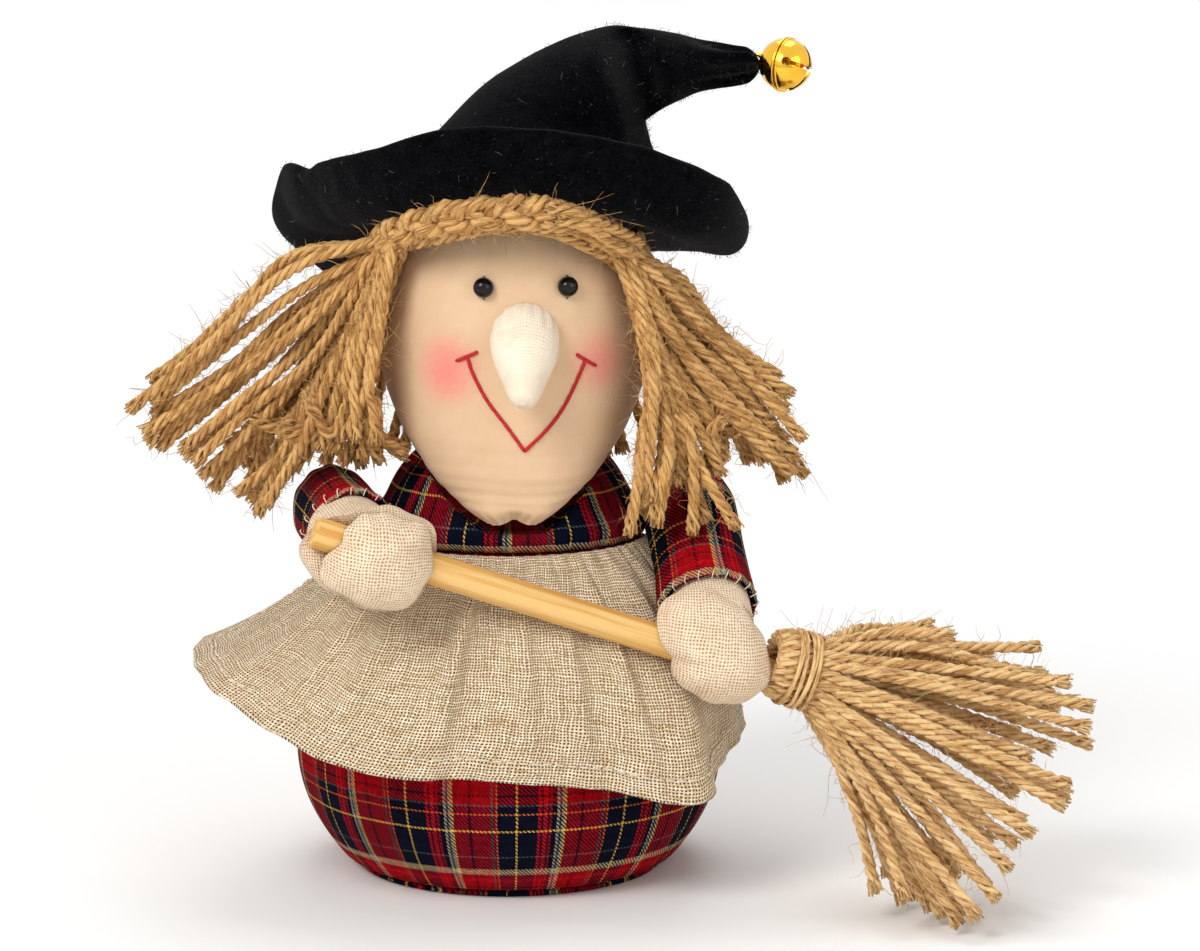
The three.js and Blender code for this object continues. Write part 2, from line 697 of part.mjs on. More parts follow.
const rightCords = [
	[ [ - 56, 60 ], [ - 53, - 17, 62 ], [ - 74, - 11, 43 ], [ - 94, - 7, 26 ] ],
	[ [ - 64, 59 ], [ - 50, - 12, 65 ], [ - 68, - 8, 52 ], [ - 85, - 6, 35 ] ],
	[ [ - 58, 58 ], [ - 50, - 16, 49 ], [ - 71, - 10, 33 ], [ - 88, - 8, 22 ] ],
	[ [ - 70, 63 ], [ - 52, - 10, 46 ], [ - 72, - 6, 30 ], [ - 87, - 4, 17 ] ],
	[ [ - 60, 60 ], [ - 47, - 16, 42 ], [ - 63, - 12, 27 ], [ - 78, - 10, 15 ] ],
	[ [ - 76, 61 ], [ - 48, - 8, 40 ], [ - 62, - 6, 20 ], [ - 74, - 4, 6 ] ],
	[ [ - 62, 57 ], [ - 43, - 20, 38 ], [ - 51, - 19, 20 ], [ - 59, - 18, 5 ] ],
	[ [ - 84, 60 ], [ - 45, - 4, 36 ], [ - 56, - 2, 16 ], [ - 64, 0, 2 ] ],
	[ [ - 66, 55 ], [ - 40, - 21, 37 ], [ - 44, - 21, 27 ], [ - 46, - 20, 20 ] ],
	[ [ - 58, 56 ], [ - 37, - 25, 38 ], [ - 38, - 25, 29 ], [ - 39, - 24, 21 ] ],
	[ [ - 51, 58 ], [ - 34, - 27, 40 ], [ - 33, - 28, 30 ], [ - 31, - 26, 22 ] ],
	[ [ - 104, 61 ], [ - 47, 9, 40 ], [ - 54, 11, 20 ], [ - 60, 12, 4 ] ],
	[ [ - 122, 60 ], [ - 40, 23, 38 ], [ - 46, 25, 20 ], [ - 50, 26, 6 ] ],
	[ [ - 142, 58 ], [ - 28, 33, 36 ], [ - 32, 35, 20 ], [ - 34, 36, 6 ] ],
];
const leftCords = [
	[ [ 46, 61 ], [ 38, - 23, 60 ], [ 56, - 17, 40 ], [ 73, - 13, 21 ] ],
	[ [ 55, 59 ], [ 42, - 13, 60 ], [ 54, - 9, 47 ], [ 65, - 7, 34 ] ],
	[ [ 62, 63 ], [ 42, - 15, 52 ], [ 55, - 12, 41 ], [ 67, - 10, 28 ] ],
	[ [ 50, 60 ], [ 38, - 24, 51 ], [ 50, - 20, 36 ], [ 68, - 17, 19 ] ],
	[ [ 56, 63 ], [ 40, - 23, 48 ], [ 52, - 21, 29 ], [ 69, - 17, 12 ] ],
	[ [ 64, 60 ], [ 41, - 18, 45 ], [ 49, - 15, 32 ], [ 59, - 13, 19 ] ],
	[ [ 60, 58 ], [ 38, - 22, 42 ], [ 46, - 22, 27 ], [ 53, - 20, 16 ] ],
	[ [ 48, 62 ], [ 37, - 27, 46 ], [ 46, - 27, 27 ], [ 54, - 25, 14 ] ],
	[ [ 57, 55 ], [ 37, - 25, 41 ], [ 42, - 25, 26 ], [ 46, - 23, 13 ] ],
	[ [ 47, 56 ], [ 36, - 28, 40 ], [ 38, - 28, 22 ], [ 37, - 27, 14 ] ],
	[ [ 51, 59 ], [ 34, - 30, 36 ], [ 32, - 31, 16 ], [ 29, - 33, 1 ] ],
	[ [ 98, 61 ], [ 46, 7, 42 ], [ 54, 9, 22 ], [ 61, 10, 8 ] ],
	[ [ 120, 60 ], [ 40, 22, 38 ], [ 46, 24, 20 ], [ 51, 25, 6 ] ],
	[ [ 142, 58 ], [ 28, 33, 36 ], [ 32, 35, 20 ], [ 35, 36, 6 ] ],
];

const weftLow = 52;
const weftHigh = 70;

// A band that hugs the head between two angles and two levels.
function weft( from, to ) {

	const [ columns, rows ] = [ 9, 3 ];
	const faces = [ seatGap + hairWeft, - 2 ].map( ( standOff ) => {

		const lines = [];
		for ( let i = 0; i <= columns; i ++ ) {

			const angle = from + ( to - from ) * i / columns;
			const line = [];
			for ( let k = 0; k <= rows; k ++ ) {

				line.push( onHead( angle, weftLow + ( weftHigh - weftLow ) * k / rows, standOff ) );

			}

			lines.push( line );

		}

		return lines;

	} );
	return solid( slab( faces[ 0 ], faces[ 1 ], false ) );

}

function hairSide( cords, from, to ) {

	const strands = cords.map( ( [ [ angle, level ], ...points ] ) => {

		const root = onHead( angle * degrees, level, seatGap + hairWeft / 2 );
		const route = points.map( ( [ x, y, height ] ) => new THREE.Vector3( x, y, headBase.z + height ) );
		return solid( tube( cordThrough( [ root, ...route ] ), hairCord / 2, 4, 5 ) );

	} );
	return union( [ weft( from, to ), ...strands ] ).subtract( headKeepOut );

}

const frontBand = [];
for ( const [ angle, level ] of [ [ - 68, 64 ], [ - 50, 72 ], [ - 28, 77 ], [ 0, 77.5 ], [ 26, 76 ], [ 46, 71 ], [ 60, 64 ] ] ) {

	frontBand.push( onHead( angle * degrees, level, seatGap + bandRadius ) );

}

const bandForm = tube( cordThrough( frontBand ), bandRadius, 7, 12 );
const bandKeepOut = solid( grown( bandForm, seatGap ) );
const frontHair = solid( bandForm ).subtract( headKeepOut );
const rightHair = hairSide( rightCords, - 160 * degrees, - 40 * degrees ).subtract( bandKeepOut );
const leftHair = hairSide( leftCords, 40 * degrees, 160 * degrees ).subtract( bandKeepOut );
addPiece( headGroup, 'front_hair', frontHair, finish.jute );
addPiece( headGroup, 'right_hair', rightHair, finish.jute );
addPiece( headGroup, 'left_hair', leftHair, finish.jute );

// Hat. The brim's seat is a plane that rises towards the front. Each brim station is [ angle from the
// front, width to the bend, rise of the bend, width to the edge, rise of the edge ].

const hatBase = headBase.clone().add( new THREE.Vector3( 0, 0, hatHeight ) );

function seatRise( y ) {

	return - hatTilt * ( y - hatBase.y );

}

const brimStations = [
	[ - 45, 10, 3, 8, 23 ],
	[ 0, 9, 2, 7, 25.5 ],
	[ 45, 16, - 1, 14, 20 ],
	[ 70, 22, - 5, 21, 11 ],
	[ 90, 24, - 8, 24.5, 4.5 ],
	[ 125, 17, - 11, 27, - 9 ],
	[ 180, 12, - 13, 25, - 16 ],
	[ 225, 14, - 13, 28, - 18 ],
	[ 250, 20, - 12, 25, 1 ],
	[ 270, 14, - 3, 14, 16 ],
	[ 288, 11, 0, 11, 16 ],
	[ 315, 10, 3, 8, 23 ],
	[ 360, 9, 2, 7, 25.5 ],
	[ 405, 16, - 1, 14, 20 ],
];
const brimColumns = 36;
const brimRows = 4;

function brimLine( angle ) {

	const [ bendOut, bendUp, edgeOut, edgeUp ] = [ 1, 2, 3, 4 ].map( ( column ) => follow( brimStations, column, angle ) );
	const outward = new THREE.Vector3( Math.sin( angle * degrees ), - Math.cos( angle * degrees ), 0 );
	const at = ( radius, rise ) => {

		const point = hatBase.clone().addScaledVector( outward, radius );
		point.z += rise;
		return point;

	};

	const inner = at( brimInner, 0 );
	inner.z += seatRise( inner.y );
	const seat = at( hatRadius, 0 );
	seat.z += seatRise( seat.y );
	const bend = at( hatRadius + bendOut, bendUp );
	const edge = at( hatRadius + edgeOut, edgeUp );
	return [ inner, seat, ...new THREE.QuadraticBezierCurve3( seat, bend, edge ).getPoints( brimRows ).slice( 1 ) ];

}

function brimSheet() {

	const lines = [];
	for ( let i = 0; i < brimColumns; i ++ ) lines.push( brimLine( 360 * i / brimColumns ) );
	const rows = lines[ 0 ].length - 1;
	const faces = [ 1, - 1 ].map( ( face ) => lines.map( ( line, i ) => line.map( ( point, k ) => {

		const next = lines[ ( i + 1 ) % brimColumns ][ k ];
		const before = lines[ ( i + brimColumns - 1 ) % brimColumns ][ k ];
		const out = line[ Math.min( k + 1, rows ) ].clone().sub( line[ Math.max( k - 1, 0 ) ] );
		const upward = out.cross( next.clone().sub( before ) ).normalize();
		return point.clone().addScaledVector( upward, face * feltThickness / 2 );

	} ) ) );
	return slab( faces[ 0 ], faces[ 1 ], true );

}

// Crown: sections fan round the bend. Each station gives the outer and the inner end of a section,
// in the view from the front, its half depth and how far its front edge is tilted up.
const crownStations = [
	[ [ - 36, 0 ], [ 36, 0 ], 35, 35 * hatTilt ],
	[ [ - 28, 13 ], [ 36, 9 ], 31, 5 ],
	[ [ - 19.5, 24 ], [ 35, 18 ], 27, 3 ],
	[ [ - 10, 34.5 ], [ 33.5, 24 ], 22, 1 ],
	[ [ 4, 43.5 ], [ 33, 27 ], 17.5, 0 ],
	[ [ 20, 48 ], [ 35, 28.5 ], 14, 0 ],
	[ [ 32, 48 ], [ 39.5, 30.5 ], 11.5, 0 ],
	[ [ 46.5, 44.5 ], [ 46.5, 31.5 ], 7.4, 0 ],
	[ [ tipReach - 0.3, tipRise + tipFelt ], [ tipReach + 0.2, tipRise - tipFelt ], tipFelt + 0.4, 0 ],
];
const crownLift = feltThickness / 2 + seatGap;
const crownCentre = hatBase.clone().add( new THREE.Vector3( 0, 0, crownLift ) );

function crownForm( inset, drop, share, rings, sides ) {

	const middles = new THREE.CatmullRomCurve3( crownStations.map( ( [ outer, inner ] ) =>
		new THREE.Vector3( ( outer[ 0 ] + inner[ 0 ] ) / 2, 0, ( outer[ 1 ] + inner[ 1 ] ) / 2 ) ) );
	const halves = new THREE.CatmullRomCurve3( crownStations.map( ( [ outer, inner ] ) =>
		new THREE.Vector3( ( inner[ 0 ] - outer[ 0 ] ) / 2, 0, ( inner[ 1 ] - outer[ 1 ] ) / 2 ) ) );
	const depths = new THREE.CatmullRomCurve3( crownStations.map( ( [ , , depth, tilt ] ) =>
		new THREE.Vector3( 0, - depth, tilt ) ) );
	const sections = [];
	for ( let i = 0; i <= rings; i ++ ) {

		const place = share * i / rings;
		const [ middle, half, depth ] = [ middles, halves, depths ].map( ( curve ) => curve.getPoint( place ) );
		half.setLength( Math.max( half.length() - inset, 0.5 ) );
		depth.setLength( Math.max( depth.length() - inset, 0.5 ) );
		if ( i === 0 ) middle.z -= drop;
		const section = [];
		for ( let j = 0; j < sides; j ++ ) {

			const angle = TAU * j / sides;
			section.push( middle.clone().add( crownCentre )
				.addScaledVector( half, Math.sin( angle ) ).addScaledVector( depth, Math.cos( angle ) ) );

		}

		sections.push( section );

	}

	return new LoftGeometry( sections, { capStart: true, capEnd: true } );

}

const hatTip = crownCentre.clone().add( new THREE.Vector3( tipReach, 0, tipRise ) );
const bellDirection = new THREE.Vector3( 0.87, - 0.47, - 0.13 ).normalize();
const bellCentre = hatTip.clone().addScaledVector( bellDirection, bellRadius + loopRadius * 0.6 );
const loopCentre = bellCentre.clone().addScaledVector( bellDirection, - bellRadius - loopRadius * 0.7 );

// The bell swings about its loop, up and down; the felt is cut back from all of that.
const bellSweep = union( [ - 1, 0, 1 ].map( ( turn ) => {

	const arm = bellCentre.clone().sub( loopCentre ).applyAxisAngle( new THREE.Vector3( 0, 1, 0 ), turn * bellSwing * degrees );
	const centre = loopCentre.clone().add( arm );
	const radius = bellRadius + bellRim + seatGap;
	return solid( new THREE.SphereGeometry( radius, 14, 8 ).translate( centre.x, centre.y, centre.z ) );

} ) );
const loopPocket = solid( new THREE.SphereGeometry( loopRadius + loopWire + seatGap, 12, 8 )
	.translate( loopCentre.x, loopCentre.y, loopCentre.z ) );

const headAndHair = solid( grown( headForm, hairWeft + 3 * seatGap ) ).add( bandKeepOut );
const hatBrim = solid( brimSheet() ).subtract( headAndHair );
const hatCrown = solid( crownForm( 0, 0, 1, 12, 20 ) ).subtract( solid( crownForm( feltThickness, 4, 0.8, 7, 12 ) ) )
	.subtract( headAndHair ).subtract( bellSweep ).subtract( loopPocket );

const hatGroup = groupAt( doll, hatBase );
addPiece( hatGroup, 'hat_brim', hatBrim, finish.felt );
addPiece( hatGroup, 'hat_crown', hatCrown, finish.felt );

// Bell. Its line runs from the loop on the cap to the crossed slits in the cup. Each half shell is
// drawn with its rolled edge, from the pole to the middle; side is -1 for the cap, 1 for the cup.

function halfShell( side ) {

	const steps = 4;
	const arc = ( radius ) => {

		const points = [ [ 0, side * radius ] ];
		const lowest = Math.asin( ( seatGap / 2 + bellRimHeight ) / radius );
		for ( let i = 1; i <= steps; i ++ ) {

			const angle = Math.PI / 2 + ( lowest - Math.PI / 2 ) * i / steps;
			points.push( [ radius * Math.cos( angle ), side * radius * Math.sin( angle ) ] );

		}

		return points;

	};

	const edge = side * seatGap / 2;
	return [
		...arc( bellRadius ),
		[ bellRadius + bellRim, edge + side * bellRimHeight ], [ bellRadius + bellRim, edge ], [ bellRadius - bellWall, edge ],
		...arc( bellRadius - bellWall ).reverse(),
	];

}

const [ bellCap, bellCup ] = [ - 1, 1 ].map( ( side ) =>
	solid( turnedAlong( halfShell( side ), 16, bellCentre, bellDirection ) ) );
const bellTurn = new THREE.Quaternion().setFromUnitVectors( new THREE.Vector3( 0, 0, 1 ), bellDirection );
const slits = [ 0, 1 ].map( ( quarter ) => {

	const slitHeight = bellRadius * 0.42;
	const slit = new THREE.BoxGeometry( 2 * bellRadius + 2, bellSlit, bellRadius ).translate( 0, 0, slitHeight + bellRadius / 2 );
	const hole = new THREE.CylinderGeometry( bellHole, bellHole, 2 * bellRadius + 2, 8 ).rotateZ( Math.PI / 2 )
		.translate( 0, 0, slitHeight );
	return union( [ slit, hole ].map( ( cutter ) => solid( cutter.rotateZ( ( quarter * 90 + 45 ) * degrees )
		.applyQuaternion( bellTurn ).translate( bellCentre.x, bellCentre.y, bellCentre.z ) ) ) );

} );
const bellLoop = solid( new THREE.TorusGeometry( loopRadius, loopWire, 5, 10 ).rotateX( Math.PI / 2 )
	.applyQuaternion( bellTurn ).translate( loopCentre.x, loopCentre.y, loopCentre.z ) )
	.subtract( solid( new THREE.SphereGeometry( bellRadius - bellWall * 0.5, 16, 10 )
		.translate( bellCentre.x, bellCentre.y, bellCentre.z ) ) );
const bellGroup = groupAt( hatGroup, hatTip.clone().sub( hatBase ) );
addPiece( bellGroup, 'bell_cap', bellCap.add( bellLoop ), finish.brass );
addPiece( bellGroup, 'bell_cup', bellCup.subtract( union( slits ) ), finish.brass );
const ballCentre = bellCentre.clone();
ballCentre.z -= bellRadius - bellWall - ballRadius - seatGap;
addPiece( bellGroup, 'bell_ball', solid( new THREE.SphereGeometry( ballRadius, 12, 8 )
	.translate( ballCentre.x, ballCentre.y, ballCentre.z ) ), finish.steel );

// Broom. Its parts are worked out along the handle's line.

const broomGroup = groupAt( doll, handleMiddle );
addPiece( broomGroup, 'broom_handle', handleSolid( handleRadius, 0, handleLength ), finish.wood );

const upAcross = new THREE.Vector3( 0, 0, 1 ).addScaledVector( handleDirection, - handleDirection.z ).normalize();
const sideAcross = handleDirection.clone().cross( upAcross ).normalize();
const bundleStart = handleStart.clone().addScaledVector( handleDirection, bundleFrom )
	.addScaledVector( upAcross, bundleRise );
const bundle = solid( turnedAlong( [
	[ 0, 0 ], [ bundleRadius - 1.5, 0 ], [ bundleRadius, 2 ], [ bundleRadius, bundleLength - 6 ],
	[ bundleRadius * 1.15, bundleLength ], [ bundleRadius * 0.9, bundleLength + 4 ], [ 0, bundleLength + 6 ],
], 16, bundleStart, handleDirection ) );

const fanColumns = 9;
const fanRows = 3;
const fanHigh = 6;
const fanLow = - 70;
const fanForward = 30;

function brushStrand( column, row ) {

	const share = column / ( fanColumns - 1 );
	const ripple = Math.sin( 7.3 * column + 2.1 * row );
	const lift = ( fanHigh + ( fanLow - fanHigh ) * share + 2 * ripple ) * degrees;
	const depth = ( row - ( fanRows - 1 ) / 2 ) * 11 - fanForward * share ** 1.4;
	const reach = brushReach * ( 0.93 + 0.05 * Math.sin( 3.1 * column + 4.7 * row ) );
	const start = bundleStart.clone().addScaledVector( handleDirection, bundleLength - 2 )
		.addScaledVector( upAcross, bundleRadius * 0.75 * ( 1 - 2 * share ) )
		.addScaledVector( sideAcross, bundleRadius * 0.5 * ( 1 - row ) );
	const end = bundleStart.clone().add( new THREE.Vector3( reach * Math.cos( lift ), depth, reach * Math.sin( lift ) ) );
	end.addScaledVector( handleDirection, 8 );
	end.z = Math.max( end.z, 3 );
	const along = start.clone().addScaledVector( handleDirection, 12 );
	const middle = start.clone().lerp( end, 0.55 );
	middle.z += 4 * ( 0.6 - share );
	return solid( tube( cordThrough( [ start, along, middle, end ] ), hairCord / 2, 4, 4 ) );

}

const strands = [];
for ( let column = 0; column < fanColumns; column ++ ) {

	for ( let row = 0; row < fanRows; row ++ ) strands.push( brushStrand( column, row ) );

}

const brush = union( [ bundle, ...strands ] )
	.subtract( handleSolid( handleRadius + handleClearance, - 5, handleLength + handleClearance ) );
addPiece( broomGroup, 'broom_brush', brush, finish.jute );

class Winding extends THREE.Curve {

	getPoint( t, target = new THREE.Vector3() ) {

		const angle = TAU * twineTurns * t;
		const radius = bundleRadius + seatGap + twineRadius;
		return target.copy( bundleStart ).addScaledVector( handleDirection, 4 + twinePitch * twineTurns * t )
			.addScaledVector( upAcross, radius * Math.cos( angle ) ).addScaledVector( sideAcross, radius * Math.sin( angle ) );

	}

}

const winding = new Winding();
addPiece( broomGroup, 'broom_binding', solid( tube( winding, twineRadius, 6, 24 * twineTurns ) ), finish.jute );

// The least gap between neighbouring turns of the twine, measured on points one turn apart.
let leastGap = Infinity;
for ( let i = 0; i <= 24 * ( twineTurns - 1 ); i ++ ) {

	const here = winding.getPoint( i / ( 24 * twineTurns ) );
	for ( let k = i + 18; k <= 24 * twineTurns; k ++ ) {

		leastGap = Math.min( leastGap, here.distanceTo( winding.getPoint( k / ( 24 * twineTurns ) ) ) - 2 * twineRadius );

	}

}

console.log( `least gap between turns of the binding: ${leastGap.toFixed( 2 )} mm` );

export default doll;
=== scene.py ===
import math

import bpy
import numpy as np
from mathutils import Matrix, Vector
from mathutils.bvhtree import BVHTree


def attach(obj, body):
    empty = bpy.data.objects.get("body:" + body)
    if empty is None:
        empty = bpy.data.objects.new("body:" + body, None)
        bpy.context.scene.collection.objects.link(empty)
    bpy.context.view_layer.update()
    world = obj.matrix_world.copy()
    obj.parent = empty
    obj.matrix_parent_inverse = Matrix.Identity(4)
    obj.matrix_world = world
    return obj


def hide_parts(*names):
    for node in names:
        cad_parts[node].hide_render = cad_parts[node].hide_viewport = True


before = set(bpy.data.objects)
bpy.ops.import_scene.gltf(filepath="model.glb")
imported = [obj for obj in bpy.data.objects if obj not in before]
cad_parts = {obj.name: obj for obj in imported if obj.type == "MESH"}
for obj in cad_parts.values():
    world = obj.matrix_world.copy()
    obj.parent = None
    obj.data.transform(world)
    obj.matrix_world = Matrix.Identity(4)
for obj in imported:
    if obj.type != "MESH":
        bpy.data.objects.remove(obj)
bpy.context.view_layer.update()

# Studio
# A white sweep with a soft key from the upper left, as for a catalogue picture. The camera looks ten
# degrees down from just over a metre away, so the doll is seen almost flat on.

MM = 0.001
TAU = 2 * math.pi
LENS, SENSOR = 132, 36
LOOK_AT, LOOK_DOWN, CAMERA_AWAY = np.array([22.75, 0, 98.3]), math.radians(10), 1100
LAMP_AIM = Vector((0.02, 0, 0.09))
FLOOR_SIZE, GLOW_MIDDLE, GLOW_FROM, GLOW_TO = 8, (0.03, 0.02, 0), 0.1, 0.34
eye = LOOK_AT + CAMERA_AWAY * np.array([0, -math.cos(LOOK_DOWN), math.sin(LOOK_DOWN)])

bpy.ops.object.select_all(action="DESELECT")
bpy.ops.object.camera_add(location=Vector(eye * MM), rotation=(math.pi / 2 - LOOK_DOWN, 0, 0))
camera = bpy.context.object
camera.data.lens, camera.data.sensor_width = LENS, SENSOR
bpy.context.scene.camera = camera
bpy.context.scene.view_settings.view_transform = "Standard"


def linear(hex_value):
    """An sRGB hex value as the linear colour that the shaders take."""
    parts = [int(hex_value[k:k + 2], 16) / 255 for k in (1, 3, 5)]
    return (*[c / 12.92 if c <= 0.04045 else ((c + 0.055) / 1.055) ** 2.4 for c in parts], 1)


def put(tree, kind, sockets=(), **settings):
    """Adds a shader node; sockets gives each input a value or the output that feeds it."""
    made = tree.nodes.new("ShaderNode" + kind)
    for name, value in settings.items():
        setattr(made, name, value)
    for name, value in dict(sockets).items():
        if isinstance(value, bpy.types.NodeSocket):
            tree.links.new(value, made.inputs[name])
        else:
            made.inputs[name].default_value = value
    return made


def finish(name, sockets=()):
    """A new surface finish: its material, its node tree and its shader."""
    material = bpy.data.materials.new(name)
    material.use_nodes = True
    shader = material.node_tree.nodes["Principled BSDF"]
    for socket, value in dict(sockets).items():
        shader.inputs[socket].default_value = value
    return material, material.node_tree, shader

def calc(tree, operation, *values, kind="Math"):
    """A sum of up to three values, each a number, a vector or an output."""
    return put(tree, kind, dict(enumerate(values)), operation=operation).outputs[0]


def object_point(tree):
    """Where a spot is on the piece, in metres."""
    return put(tree, "TexCoord").outputs["Object"]


def weave_point(tree):
    """Where a spot is on the weave map, in millimetres."""
    return put(tree, "UVMap", uv_map="weave").outputs[0]


def distance(tree, point, centre):
    return put(tree, "VectorMath", {0: point, 1: centre}, operation="DISTANCE").outputs["Value"]


def noise(tree, point, scale, detail=2.0, **others):
    return put(tree, "TexNoise", {"Vector": point, "Scale": scale, "Detail": detail, **others}).outputs[0]


def mapped(tree, value, low, high, to_low=0.0, to_high=1.0, **settings):
    """The value's place between low and high, clipped, as a place between to_low and to_high."""
    return put(tree, "MapRange", {0: value, 1: low, 2: high, 3: to_low, 4: to_high}, **settings).outputs[0]


def blended(tree, share, low, high):
    """Two colours, each an sRGB hex value or an output, mixed by a share."""
    low, high = (linear(tone) if isinstance(tone, str) else tone for tone in (low, high))
    return put(tree, "Mix", {0: share, 6: low, 7: high}, data_type="RGBA").outputs[2]


def ramped(tree, value, low, middle, high):
    """A colour read from a value through three stops, each a position and an sRGB hex value."""
    ramp = put(tree, "ValToRGB", {0: value})
    stops = ramp.color_ramp.elements
    for stop, (position, tone) in zip(stops, (low, high)):
        stop.position, stop.color = position, linear(tone)
    stops.new(middle[0]).color = linear(middle[1])
    return ramp.outputs[0]


def paint(tree, shader, colour, height, strength, depth):
    """Gives a shader its colour, and a relief of that depth in metres."""
    tree.links.new(colour, shader.inputs["Base Color"])
    bump = put(tree, "Bump", {"Height": height, "Strength": strength, "Distance": depth})
    tree.links.new(bump.outputs[0], shader.inputs["Normal"])


def lamp(name, place, size, power):
    """A square soft box that faces the doll's middle."""
    facing = (LAMP_AIM - Vector(place)).to_track_quat("-Z", "Y").to_euler()
    bpy.ops.object.light_add(type="AREA", location=place, rotation=facing)
    bpy.context.object.name = name
    bpy.context.object.data.size = size
    bpy.context.object.data.energy = power


lamp("key_light", (-0.75, -1.0, 1.05), 0.7, 15)
lamp("fill_light", (1.0, -0.9, 0.55), 0.9, 4.5)
lamp("top_light", (0.1, 0.5, 1.3), 0.8, 7)

world = bpy.data.worlds.new("studio_white")
world.use_nodes = True
bpy.context.scene.world = world
sky = world.node_tree
plain = sky.nodes["Background"]
plain.inputs["Color"].default_value = linear("#ffffff")
plain.inputs["Strength"].default_value = 0.5
seen = put(sky, "Background", {"Color": linear("#ffffff"), "Strength": 1.0})
ray = put(sky, "LightPath")
shows = calc(sky, "MAXIMUM", ray.outputs["Is Camera Ray"], ray.outputs["Is Glossy Ray"])
both = put(sky, "MixShader", {0: shows, 1: plain.outputs[0], 2: seen.outputs[0]})
sky.links.new(both.outputs[0], sky.nodes["World Output"].inputs["Surface"])

bpy.ops.mesh.primitive_plane_add(size=FLOOR_SIZE)
floor = bpy.context.object
floor.name = "studio_floor"
paper, tree, shader = finish("white paper sweep", {"Base Color": linear("#f4f3f1"), "Roughness": 0.9})
# Away from the doll the paper is lit until it clips, so it runs into the white behind without a line.
away = mapped(tree, distance(tree, object_point(tree), GLOW_MIDDLE), GLOW_FROM, GLOW_TO,
              interpolation_type="SMOOTHSTEP")
glow = put(tree, "Emission", {"Color": linear("#ffffff"), "Strength": 1.0})
fade = calc(tree, "MULTIPLY", away, put(tree, "LightPath").outputs["Is Camera Ray"])
both = put(tree, "MixShader", {0: fade, 1: shader.outputs[0], 2: glow.outputs[0]})
tree.links.new(both.outputs[0], tree.nodes["Material Output"].inputs["Surface"])
floor.data.materials.append(paper)


# Sack body
# Woven cotton tartan, sewn as a bag, stuffed tight and closed below by a stiff round base. The cloth
# is gathered a little into the seam round the base and into the waist, which leaves small puckers.

BELLY_RADIUS, BELLY_HEIGHT, BELLY_DROP = 54.2, 32.0, 46.0
WAIST_HEIGHT, WAIST_RADIUS = 84.0, 33.0
BELLY_RISE = (WAIST_HEIGHT - BELLY_HEIGHT) / math.sqrt(1 - (WAIST_RADIUS / BELLY_RADIUS) ** 2)
SACK_LOW = 1.9
SACK_BOTTOM, SACK_SIDE, SACK_TOP = 0.1, 0.84, 0.06  # shares of the ball's height that each of them takes
SETT = 29.0  # the tartan repeats every 29 mm both ways
CLOTH_FRAMES = 20


def belly(height):
    """The sack's radius at a height, or at many."""
    rise = np.where(height < BELLY_HEIGHT, BELLY_DROP, BELLY_RISE)
    return BELLY_RADIUS * np.sqrt(np.clip(1 - ((height - BELLY_HEIGHT) / rise) ** 2, 0, 1))


def smooth(value, low, high):
    """0 below low, 1 above high and an even turn between them."""
    share = np.clip((value - low) / (high - low), 0, 1)
    return share * share * (3 - 2 * share)


def lumps(points, size, seed):
    """Soft unevenness from -1 to 1 at points in millimetres, with bumps about that far apart."""
    made = np.zeros(len(points))
    picks = np.random.default_rng(seed)
    for _ in range(7):
        way = picks.normal(size=3)
        way *= TAU / size / np.linalg.norm(way) * picks.uniform(0.6, 1.5)
        made += np.sin(points @ way + picks.uniform(0, TAU))
    return made / 4


def from_front(u):
    """The angle from the front for a share u round a ball, which is 0.5 straight behind."""
    return (u - 0.25) * TAU


def upright(radius, angle, height):
    """Points round the upright axis; the angle runs from the front towards the viewer's right."""
    return np.column_stack([radius * np.sin(angle), -radius * np.cos(angle), height])


def round_line(axes, far, wide, angle, aside=0):
    """Points round a straight line: axes gives its start, its way and two ways square to it."""
    start, along, right, over = axes
    return start + far[:, None] * along + (wide * np.sin(angle) - aside)[:, None] * right \
        + (wide * np.cos(angle))[:, None] * over


def run_along(line):
    """The distance along a line at each of its points."""
    return np.concatenate([[0], np.cumsum(np.linalg.norm(np.diff(line, axis=0), axis=1))])


def points_at(stops, run, line):
    """The points at stops along a line, of which run gives the distance at each of its own points."""
    return np.column_stack([np.interp(stops, run, line[:, k]) for k in range(3)])


def pick(*pieces):
    """Selects these pieces alone and makes the first one active."""
    bpy.ops.object.select_all(action="DESELECT")
    for piece in pieces:
        piece.select_set(True)
    bpy.context.view_layer.objects.active = pieces[0]


def fresh(name, primitive, **settings):
    """Makes a primitive, with nothing else selected, and names it."""
    bpy.ops.object.select_all(action="DESELECT")
    primitive(**settings)
    made = bpy.context.object
    made.name = made.data.name = name
    return made


def joined(pieces):
    """Joins pieces into the first of them, which then has no material."""
    pick(*pieces)
    bpy.ops.object.join()
    pieces[0].data.materials.clear()
    return pieces[0]


def edit_whole(*steps):
    """Runs edit steps, each an operator and its settings, on the whole of the active mesh."""
    bpy.ops.object.mode_set(mode="EDIT")
    bpy.ops.mesh.select_all(action="SELECT")
    for step, settings in steps:
        step(**settings)
    bpy.ops.object.mode_set(mode="OBJECT")


MERGED = (bpy.ops.mesh.remove_doubles, {"threshold": 1e-6})
FACED_OUT = (bpy.ops.mesh.normals_make_consistent, {"inside": False})


def points_of(piece):
    """A piece's points, in millimetres."""
    return np.array([v.co for v in piece.data.vertices]) / MM


def set_points(piece, points):
    piece.data.vertices.foreach_set("co", (points * MM).ravel())


def dress(piece, material, slot, body, *nodes):
    """Gives a piece its material, the body it rides with and the nodes that it replaces. The slot is not
    used.
    """
    piece.data.materials.append(material)
    if nodes:
        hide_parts(*nodes)
    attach(piece, body)


